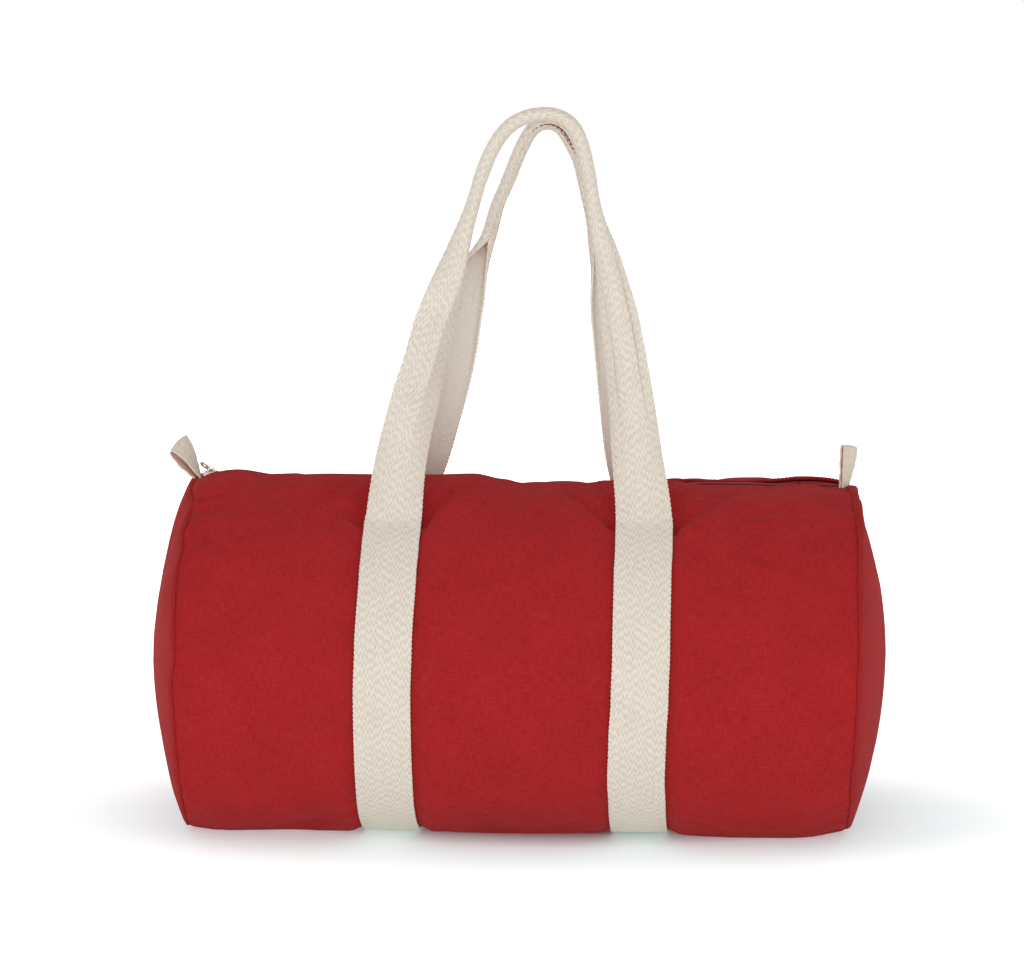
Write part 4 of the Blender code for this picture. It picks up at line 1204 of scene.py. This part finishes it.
# the zip: two tapes with teeth that part, and short fixed ends
zipper = {
    "top": 0.2336,
    "halfLength": 0.190,
    "end": 0.2199,
    "tapeEnd": {"left": 0.2212, "right": 0.2224},
    "tape": 0.0008,
    "tapeEdge": 0.0225,
    "tapeStart": 0.0004,
    "hemAt": 0.0160,             # where the hem's height is taken, from the middle of the zip
    "hemGap": 0.0028,            # the tape runs this far under it
    "slopeFrom": 0.0098,         # and comes down to it between these distances
    "slopeTo": 0.0150,
    "tapeFall": 0.15,            # steepness of its sewn edge further out
    "toothPitch": 0.0015,
    "toothSize": (0.0009, 0.0034, 0.0013),
    "toothBevel": 0.0003,
    "toothGap": 0.0002,          # from the middle of the zip
    "toothLift": 0.0003,         # above the tape
    # how far the zip lies below a straight line
    "sag": [(-0.206, 0.0), (-0.160, 0.0010), (-0.100, 0.0016), (-0.030, 0.0020), (-0.010, 0.0036),
            (0.004, 0.0050), (0.040, 0.0050), (0.058, 0.0036), (0.080, 0.0018), (0.110, 0.0006),
            (0.130, -0.0002), (0.160, -0.0002), (0.185, 0.0008), (0.206, 0.0)],
}


def zipLevel(x):
    return zipper["top"] + topFall(x) - profile(zipper["sag"], x)


def tapePoint(x, away, side):
    turn = math.asin(zipper["hemAt"] / body["halfDepth"])
    hem = canvasPoint(x, turn if side < 0.0 else math.tau - turn).z - zipper["hemGap"]
    under = ease(away, zipper["slopeFrom"], zipper["slopeTo"])
    fall = max(away - zipper["slopeTo"], 0.0) * zipper["tapeFall"]
    return Vector((x, side * away, mix(zipLevel(x), hem, under) - fall))


def makeTape(name, low, high, side):
    columns, rows = 16, max(8, round((high - low) / 0.003))

    def place(column, row):
        away = mix(zipper["tapeStart"], zipper["tapeEdge"], column / columns)
        return tapePoint(mix(low, high, row / rows), away, side)

    def clothPlace(column, row):
        return (zipper["tapeEdge"] * column / columns, (high - low) * row / rows)

    work = makeCloth(columns, rows, place, clothPlace, flip=side > 0.0)
    return finishPiece(work, name, "zip_tape", zipper["tape"])


def makeTeeth(name, low, high, side):
    work = bmesh.new()
    length, width, height = zipper["toothSize"]
    start = 0.5 if side > 0.0 else 0.0
    for index in range(int((high - low) / zipper["toothPitch"] - start)):
        x = low + zipper["toothPitch"] * (index + 0.5 + start)
        level = Vector((x, side * (width / 2.0 + zipper["toothGap"]), zipLevel(x) + zipper["toothLift"]))
        size = Matrix.Diagonal((length, width, height, 1.0))
        bmesh.ops.create_cube(work, size=1.0, matrix=Matrix.Translation(level) @ size)
    bmesh.ops.bevel(work, geom=work.edges, offset=zipper["toothBevel"], segments=1, profile=0.5,
                    affect="EDGES", material=-1)
    return finishPiece(work, name, "zip_teeth")


for face, side in (("front", -1.0), ("back", 1.0)):
    half = zipper["halfLength"]
    tape = makeTape("zipTape" + face.capitalize(), -half, half, side)
    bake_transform(tape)
    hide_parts("zip_tape_" + face)
    coil = makeTeeth("zipCoil" + face.capitalize(), -half, half, side)
    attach(coil, face + "_zip_half")
    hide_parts("zip_teeth_" + face)
    for end, low, high in (("left", -zipper["end"], -half - 0.0003), ("right", half + 0.0003, zipper["end"])):
        reach = (-zipper["tapeEnd"][end], high) if end == "left" else (low, zipper["tapeEnd"][end])
        tape = makeTape("zipTapeEnd" + end.capitalize() + face.capitalize(), *reach, side)
        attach(tape, "bag")
        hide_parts("zip_tape_end_" + end + "_" + face)
        coil = makeTeeth("zipCoilEnd" + end.capitalize() + face.capitalize(), low, high, side)
        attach(coil, "bag")
        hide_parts("zip_teeth_end_" + end + "_" + face)
print("zip made")


# a row of stitches along each hem of the canvas, beside the zip
hemStitch = {"pitch": 0.0027, "cover": 0.74, "radius": 0.00026, "proud": 0.00010, "at": 0.0184,
             "reach": 0.985}
for face, side in (("front", 1.0), ("back", -1.0)):
    turn = (side * math.asin(hemStitch["at"] / body["halfDepth"])) % math.tau
    row = [canvasPoint(body["seamAt"] * step / 150.0 * hemStitch["reach"], turn) for step in range(-150, 151)]
    stitches = makeStitches("hemStitches" + face.capitalize(), "canvas_thread", row,
                            lambda place: Vector((0.0, -side * 0.13, 1.0)).normalized(), hemStitch)
    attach(stitches, "bag")
    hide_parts("zip_topstitch_" + face)
print("hem stitches made")


# the slider and its pull
slider = {
    "centre": -0.2105,
    "length": 0.0115,
    "width": 0.0104,
    "plate": 0.0011,
    "lift": 0.0017,             # underside of the upper plate above the tape
    "drop": 0.0012,             # top of the lower plate below the tape
    "noseTaper": 0.72,
    "lip": 0.0010,              # thickness of the turned-down sides
    "lipHeight": 0.0012,
    "post": 0.0016,             # width of the post between the two rows of teeth
    "sunk": 0.0003,             # how far lips, post and bridge reach into their plate
    "bevel": 0.00035,
    "bridgeRadius": 0.0023,
    "bridgeWire": 0.0010,
    "pivot": 0.237682,          # height that the pull turns about
    "pullLength": 0.0092,
    "pullWidth": 0.0070,
    "pullThickness": 0.0010,
    "pullBevel": 0.00022,
    "holeRadius": 0.00135,
    "pullNeck": 0.0013,         # its half width next to the eye
    "pullFrom": 0.0016,         # where it starts, from the pivot
    "eyeRadius": 0.0012,
    "eyeWire": 0.00045,
    "pullRaise": 38.0,          # degrees it stands up from the tape
    "pullRoll": 34.0,           # and leans over to one side
}


# a block, narrower towards its left end
def addBlock(work, centre, size, taper=1.0):
    placed = Matrix.Translation(centre) @ Matrix.Diagonal((*size, 1.0))
    made = bmesh.ops.create_cube(work, size=1.0, matrix=placed)
    for corner in made["verts"]:
        if corner.co.x < centre[0]:
            corner.co.y = centre[1] + (corner.co.y - centre[1]) * taper


def makeSlider():
    work = bmesh.new()
    level = zipper["top"] + topFall(slider["centre"])
    x, length, width, plate = slider["centre"], slider["length"], slider["width"], slider["plate"]
    taper, sunk = slider["noseTaper"], slider["sunk"]
    addBlock(work, (x, 0.0, level + slider["lift"] + plate / 2.0), (length, width, plate), taper)
    addBlock(work, (x, 0.0, level - slider["drop"] - plate / 2.0), (length, width * 0.92, plate), taper)
    for side in (-1.0, 1.0):
        lipAt = side * (width - slider["lip"]) / 2.0
        lip = (length * 0.92, slider["lip"], slider["lipHeight"])
        addBlock(work, (x, lipAt, level + slider["lift"] - sunk), lip, taper)
    post = (length * 0.2, slider["post"], slider["lift"] + slider["drop"])
    addBlock(work, (x - length * 0.34, 0.0, level + sunk), post)
    bmesh.ops.bevel(work, geom=work.edges, offset=slider["bevel"], segments=2, profile=0.5, affect="EDGES",
                    material=-1)
    piece = finishPiece(work, "zipSlider", "slider_metal")
    return piece, level + slider["lift"] + plate


# a wire arch standing on the slider, which the pull hangs from
def makeBridge(deck):
    work = bmesh.new()
    wire, reach = slider["bridgeWire"], slider["bridgeRadius"]
    ring = bmesh.ops.create_circle(work, segments=10, radius=wire,
                                   matrix=Matrix.Translation((reach, 0.0, 0.0)))["verts"]
    edges = list({edge for corner in ring for edge in corner.link_edges})
    bmesh.ops.spin(work, geom=ring + edges, cent=(0.0, 0.0, 0.0), axis=(0.0, -1.0, 0.0), angle=math.pi,
                   steps=14)
    openEdges = [edge for edge in work.edges if edge.is_boundary]
    bmesh.ops.holes_fill(work, edges=openEdges, sides=0)
    bmesh.ops.scale(work, vec=(1.0, 1.3, 1.5), verts=work.verts)
    bmesh.ops.translate(work, vec=(slider["centre"], 0.0, deck - slider["sunk"]), verts=work.verts)
    bmesh.ops.recalc_face_normals(work, faces=work.faces)
    return finishPiece(work, "sliderBridge", "slider_metal")


# a flat drop-shaped plate with a round hole, and an eye round the bridge's wire
def makePull():
    work = bmesh.new()
    count = 28
    holeAt = slider["pullLength"] - slider["pullWidth"] / 2.0
    bmesh.ops.create_circle(work, segments=count, radius=slider["holeRadius"])
    rim = bmesh.ops.create_circle(work, segments=count, radius=slider["pullWidth"] / 2.0)["verts"]
    for corner in rim:
        if corner.co.x < 0.0:
            share = -corner.co.x / (slider["pullWidth"] / 2.0)
            corner.co.x = -share * (holeAt - slider["pullFrom"])
            corner.co.y *= 1.0 - 0.25 * share
            neck = slider["pullNeck"] * ease(share, 0.0, 0.5)
            corner.co.y = math.copysign(max(abs(corner.co.y), neck), corner.co.y)
    bmesh.ops.bridge_loops(work, edges=work.edges[:])
    bmesh.ops.translate(work, vec=(holeAt, 0.0, 0.0), verts=work.verts)
    bmesh.ops.recalc_face_normals(work, faces=work.faces)
    bmesh.ops.solidify(work, geom=work.faces[:], thickness=slider["pullThickness"])
    bmesh.ops.translate(work, vec=(0.0, 0.0, slider["pullThickness"] / 2.0), verts=work.verts)
    bmesh.ops.recalc_face_normals(work, faces=work.faces)
    sharp = [edge for edge in work.edges if edge.calc_face_angle(0.0) > 0.8]
    bmesh.ops.bevel(work, geom=sharp, offset=slider["pullBevel"], segments=2, profile=0.5, affect="EDGES",
                    material=-1)
    eyeTop = (0.0, 0.0, slider["eyeRadius"])
    eye = bmesh.ops.create_circle(work, segments=8, radius=slider["eyeWire"],
                                  matrix=Matrix.Translation(eyeTop))["verts"]
    edges = list({edge for corner in eye for edge in corner.link_edges})
    bmesh.ops.rotate(work, verts=eye, cent=eyeTop, matrix=Matrix.Rotation(math.pi / 2.0, 3, "Y"))
    bmesh.ops.spin(work, geom=eye + edges, cent=(0.0, 0.0, 0.0), axis=(1.0, 0.0, 0.0), angle=math.tau,
                   steps=18, use_merge=True)
    bmesh.ops.remove_doubles(work, verts=work.verts, dist=0.00001)
    bmesh.ops.recalc_face_normals(work, faces=work.faces)
    turn = Matrix.Rotation(math.pi + math.radians(slider["pullRaise"]), 4, "Y")
    roll = Matrix.Rotation(math.radians(slider["pullRoll"]), 4, "X")
    place = Matrix.Translation((slider["centre"], 0.0, slider["pivot"])) @ turn @ roll
    bmesh.ops.transform(work, matrix=place, verts=work.verts)
    return finishPiece(work, "zipPull", "slider_metal")


sliderBody, deck = makeSlider()
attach(sliderBody, "slider")
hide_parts("zip_slider")
bridge = makeBridge(deck)
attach(bridge, "slider")
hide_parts("slider_bridge")
pull = makePull()
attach(pull, "pull")
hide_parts("zip_pull")
print("slider made")


# the tape loops at the two ends of the zip
tabs = {
    "columns": 24,
    "rows": 84,
    "width": 0.0185,
    "length": 0.056,            # of the tape, from seam to seam round the loop
    "thickness": 0.0011,
    "ripple": 0.0005,
    "bend": 0.007,
    # the front and back corners where the tape leaves the seam and at the loop's tip, how far it opens at the
    # front and back, how narrow the slit is, and how round its tip is
    "left": {"base": ((-0.2176, -0.0088, 0.2322), (-0.2200, 0.0086, 0.2326)),
             "tip": ((-0.2370, -0.0062, 0.2506), (-0.2282, 0.0058, 0.2602)), "belly": (0.0021, 0.0012),
             "slit": 0.0010, "bow": 0.0012},
    "right": {"base": ((0.2180, -0.0090, 0.2290), (0.2230, 0.0090, 0.2290)),
              "tip": ((0.2186, -0.0080, 0.2580), (0.2282, 0.0050, 0.2548)), "belly": (0.0002, 0.0010),
              "slit": 0.00036, "bow": 0.0006},
}


def makeTab(end):
    shape = tabs[end]
    frontBase, backBase = [Vector(corner) for corner in shape["base"]]
    frontTip, backTip = [Vector(corner) for corner in shape["tip"]]

    def place(column, row):
        angle, share = math.tau * row / tabs["rows"], column / tabs["columns"]
        rise = (1.0 - math.cos(angle)) / 2.0
        base, tip = frontBase.lerp(backBase, share), frontTip.lerp(backTip, share)
        across = (backBase - frontBase).lerp(backTip - frontTip, rise)
        side = across.cross(tip - base).normalized()
        spread = abs(math.sin(angle)) ** 0.9 * ease(rise, 0.0, 0.75)
        away = shape["slit"] * mix(1.0, 0.75, ease(rise, 0.9, 1.0)) + mix(*shape["belly"], share) * spread
        tip = tip + (tip - base).normalized() * shape["bow"] * (1.0 - (2.0 * share - 1.0) ** 2)
        ripple = tabs["ripple"] * noiseAt(rise * 6.0, share * 4.8, math.copysign(1.0, math.sin(angle)))
        away = math.copysign(away, 1.0 if row == 0 else -1.0 if row == tabs["rows"] else math.sin(angle))
        return base.lerp(tip, rise) + side * (away + ripple)

    def clothPlace(column, row):
        return (tabs["width"] * column / tabs["columns"], tabs["length"] * row / tabs["rows"])

    work = makeCloth(tabs["columns"], tabs["rows"], place, clothPlace, flip=True)
    foot = (frontBase + backBase) / 2.0
    rising = ((frontTip + backTip) / 2.0 - foot).normalized()
    return finishPiece(work, "tab" + end.capitalize(), "tab_tape", tabs["thickness"]), foot, rising


for end in ("left", "right"):
    tab, foot, rising = makeTab(end)
    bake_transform(tab)
    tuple(foot)
    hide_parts("tab_" + end)
print("tabs made")


# 1 for the camera and for what gloss and glass show, 0 for the light that falls on the bag
def seenRays(tree):
    rays = addNode(tree, "ShaderNodeLightPath")
    return sums(tree, "MAXIMUM", rays.outputs["Is Camera Ray"],
                sums(tree, "MAXIMUM", rays.outputs["Is Glossy Ray"], rays.outputs["Is Transmission Ray"]))


# the floor keeps the bag's shadow; its own glow grows away from the bag, until all of it is white
def makeFloor():
    work = bmesh.new()
    bmesh.ops.create_grid(work, x_segments=1, y_segments=1, size=studio["floorSize"])
    mesh = bpy.data.meshes.new("floor")
    work.to_mesh(mesh)
    work.free()
    floor = bpy.data.objects.new("floor", mesh)
    bpy.context.scene.collection.objects.link(floor)
    material = bpy.data.materials.new("pale floor")
    material.use_nodes = True
    tree = material.node_tree
    shader = tree.nodes["Principled BSDF"]
    shader.inputs["Roughness"].default_value = 0.9
    shader.inputs["Specular IOR Level"].default_value = 0.0
    seen = seenRays(tree)
    place = addNode(tree, "ShaderNodeTexCoord").outputs["Object"]
    place = addNode(tree, "ShaderNodeMapping", {0: place, 1: studio["floorShift"],
                                                3: studio["floorStretch"]}).outputs[0]
    away = addNode(tree, "ShaderNodeVectorMath", {0: place}, operation="LENGTH").outputs["Value"]
    near, far = studio["floorTurns"]
    tint = addNode(tree, "ShaderNodeMapRange", {0: away, 1: near, 2: far, 3: 1.0, 4: 0.0}).outputs[0]
    shade = blendColours(tree, tint, studio["floor"], studio["floorNear"])
    tree.links.new(shade, shader.inputs["Base Color"])
    fade = 0.0
    for low, high, most in studio["floorGlow"]:
        step = addNode(tree, "ShaderNodeMapRange", {0: away, 1: low, 2: high, 3: 0.0, 4: most}).outputs[0]
        fade = sums(tree, "ADD", fade, step)
    bounce = sums(tree, "MAXIMUM", fade, studio["floorNearBounce"])
    bounce = sums(tree, "MULTIPLY", bounce, studio["floorBounce"])
    strength = addNode(tree, "ShaderNodeMix", {0: seen, 2: bounce, 3: fade}).outputs[0]
    glow = addNode(tree, "ShaderNodeEmission", {"Color": (1.0, 1.0, 1.0, 1.0), "Strength": strength})
    both = addNode(tree, "ShaderNodeAddShader", {0: shader.outputs[0], 1: glow.outputs[0]})
    tree.links.new(both.outputs[0], tree.nodes["Material Output"].inputs["Surface"])
    mesh.materials.append(material)


studio = {
    "floorSize": 6.0,
    "floor": (0.86, 0.86, 0.86),
    "floorNear": (0.70, 0.86, 0.87),    # near the bag it takes the red out of the light from the cloth
    "floorTurns": (0.142, 0.205),       # distances between which the second becomes the first
    "floorShift": (-0.014, 0.0, 0.0),   # distances are measured from here
    "floorStretch": (0.55, 1.0, 1.0),   # and are this much shorter along the bag
    # between two distances the floor's own light grows by so much
    "floorGlow": ((0.055, 0.105, 0.34), (0.105, 0.152, 0.06), (0.152, 0.300, 0.33), (0.300, 0.600, 0.40)),
    "floorBounce": 0.50,        # how much of it lights the bag
    "floorNearBounce": 0.75,    # and the least of it, under the bag
    "sky": 0.62,                # strength of the white all round, for the light that falls on the bag
    # lamps: place, size, power
    "lamps": {
        "frontSoft": ((-0.5, -2.7, 0.40), 1.5, 12.0),
        "lowSoft": ((0.2, -2.4, 0.16), 0.9, 10.0),
        "topSoft": ((0.1, -0.6, 2.6), 2.4, 8.4),
        "rightSoft": ((2.2, -1.2, 0.8), 1.4, 5.2),
        "leftSoft": ((-2.3, -0.8, 0.8), 1.4, 5.2),
    },
    "aim": (0.0, 0.0, 0.14),
}


def makeLights():
    aim = Vector(studio["aim"])
    for name, (place, size, power) in studio["lamps"].items():
        lamp = bpy.data.lights.new(name, "AREA")
        lamp.size = size
        lamp.energy = power
        lampObject = bpy.data.objects.new(name, lamp)
        lampObject.location = place
        lampObject.rotation_euler = (aim - Vector(place)).to_track_quat("-Z", "Y").to_euler()
        bpy.context.scene.collection.objects.link(lampObject)
    world = bpy.data.worlds.new("plain studio")
    world.use_nodes = True
    bpy.context.scene.world = world
    tree = world.node_tree
    strength = sums(tree, "MULTIPLY_ADD", seenRays(tree), 1.0 - studio["sky"], studio["sky"])
    background = tree.nodes["Background"]
    background.inputs["Color"].default_value = (1.0, 1.0, 1.0, 1.0)
    tree.links.new(strength, background.inputs["Strength"])


# from where the photograph was taken, as far as its picture tells
photoView = {
    "distance": 3.0,
    "elevation": 8.0,
    "azimuth": 2.4,
    "target": (-0.0051, 0.0, 0.2337),
    "lens": 155.0,
    "sensor": 36.0,
}


def makeCamera():
    azimuth, elevation = math.radians(photoView["azimuth"]), math.radians(photoView["elevation"])
    away = Vector((math.sin(azimuth) * math.cos(elevation), -math.cos(azimuth) * math.cos(elevation),
                   math.sin(elevation)))
    camera = bpy.data.cameras.new("photoCamera")
    camera.lens = photoView["lens"]
    camera.sensor_width = photoView["sensor"]
    camera.clip_end = 50.0
    cameraObject = bpy.data.objects.new("photoCamera", camera)
    cameraObject.location = Vector(photoView["target"]) + away * photoView["distance"]
    cameraObject.rotation_euler = (-away).to_track_quat("-Z", "Y").to_euler()
    bpy.context.scene.collection.objects.link(cameraObject)
    bpy.context.scene.camera = cameraObject


makeFloor()
makeLights()
makeCamera()
bpy.context.scene.view_settings.view_transform = "Standard"
print("stage set")
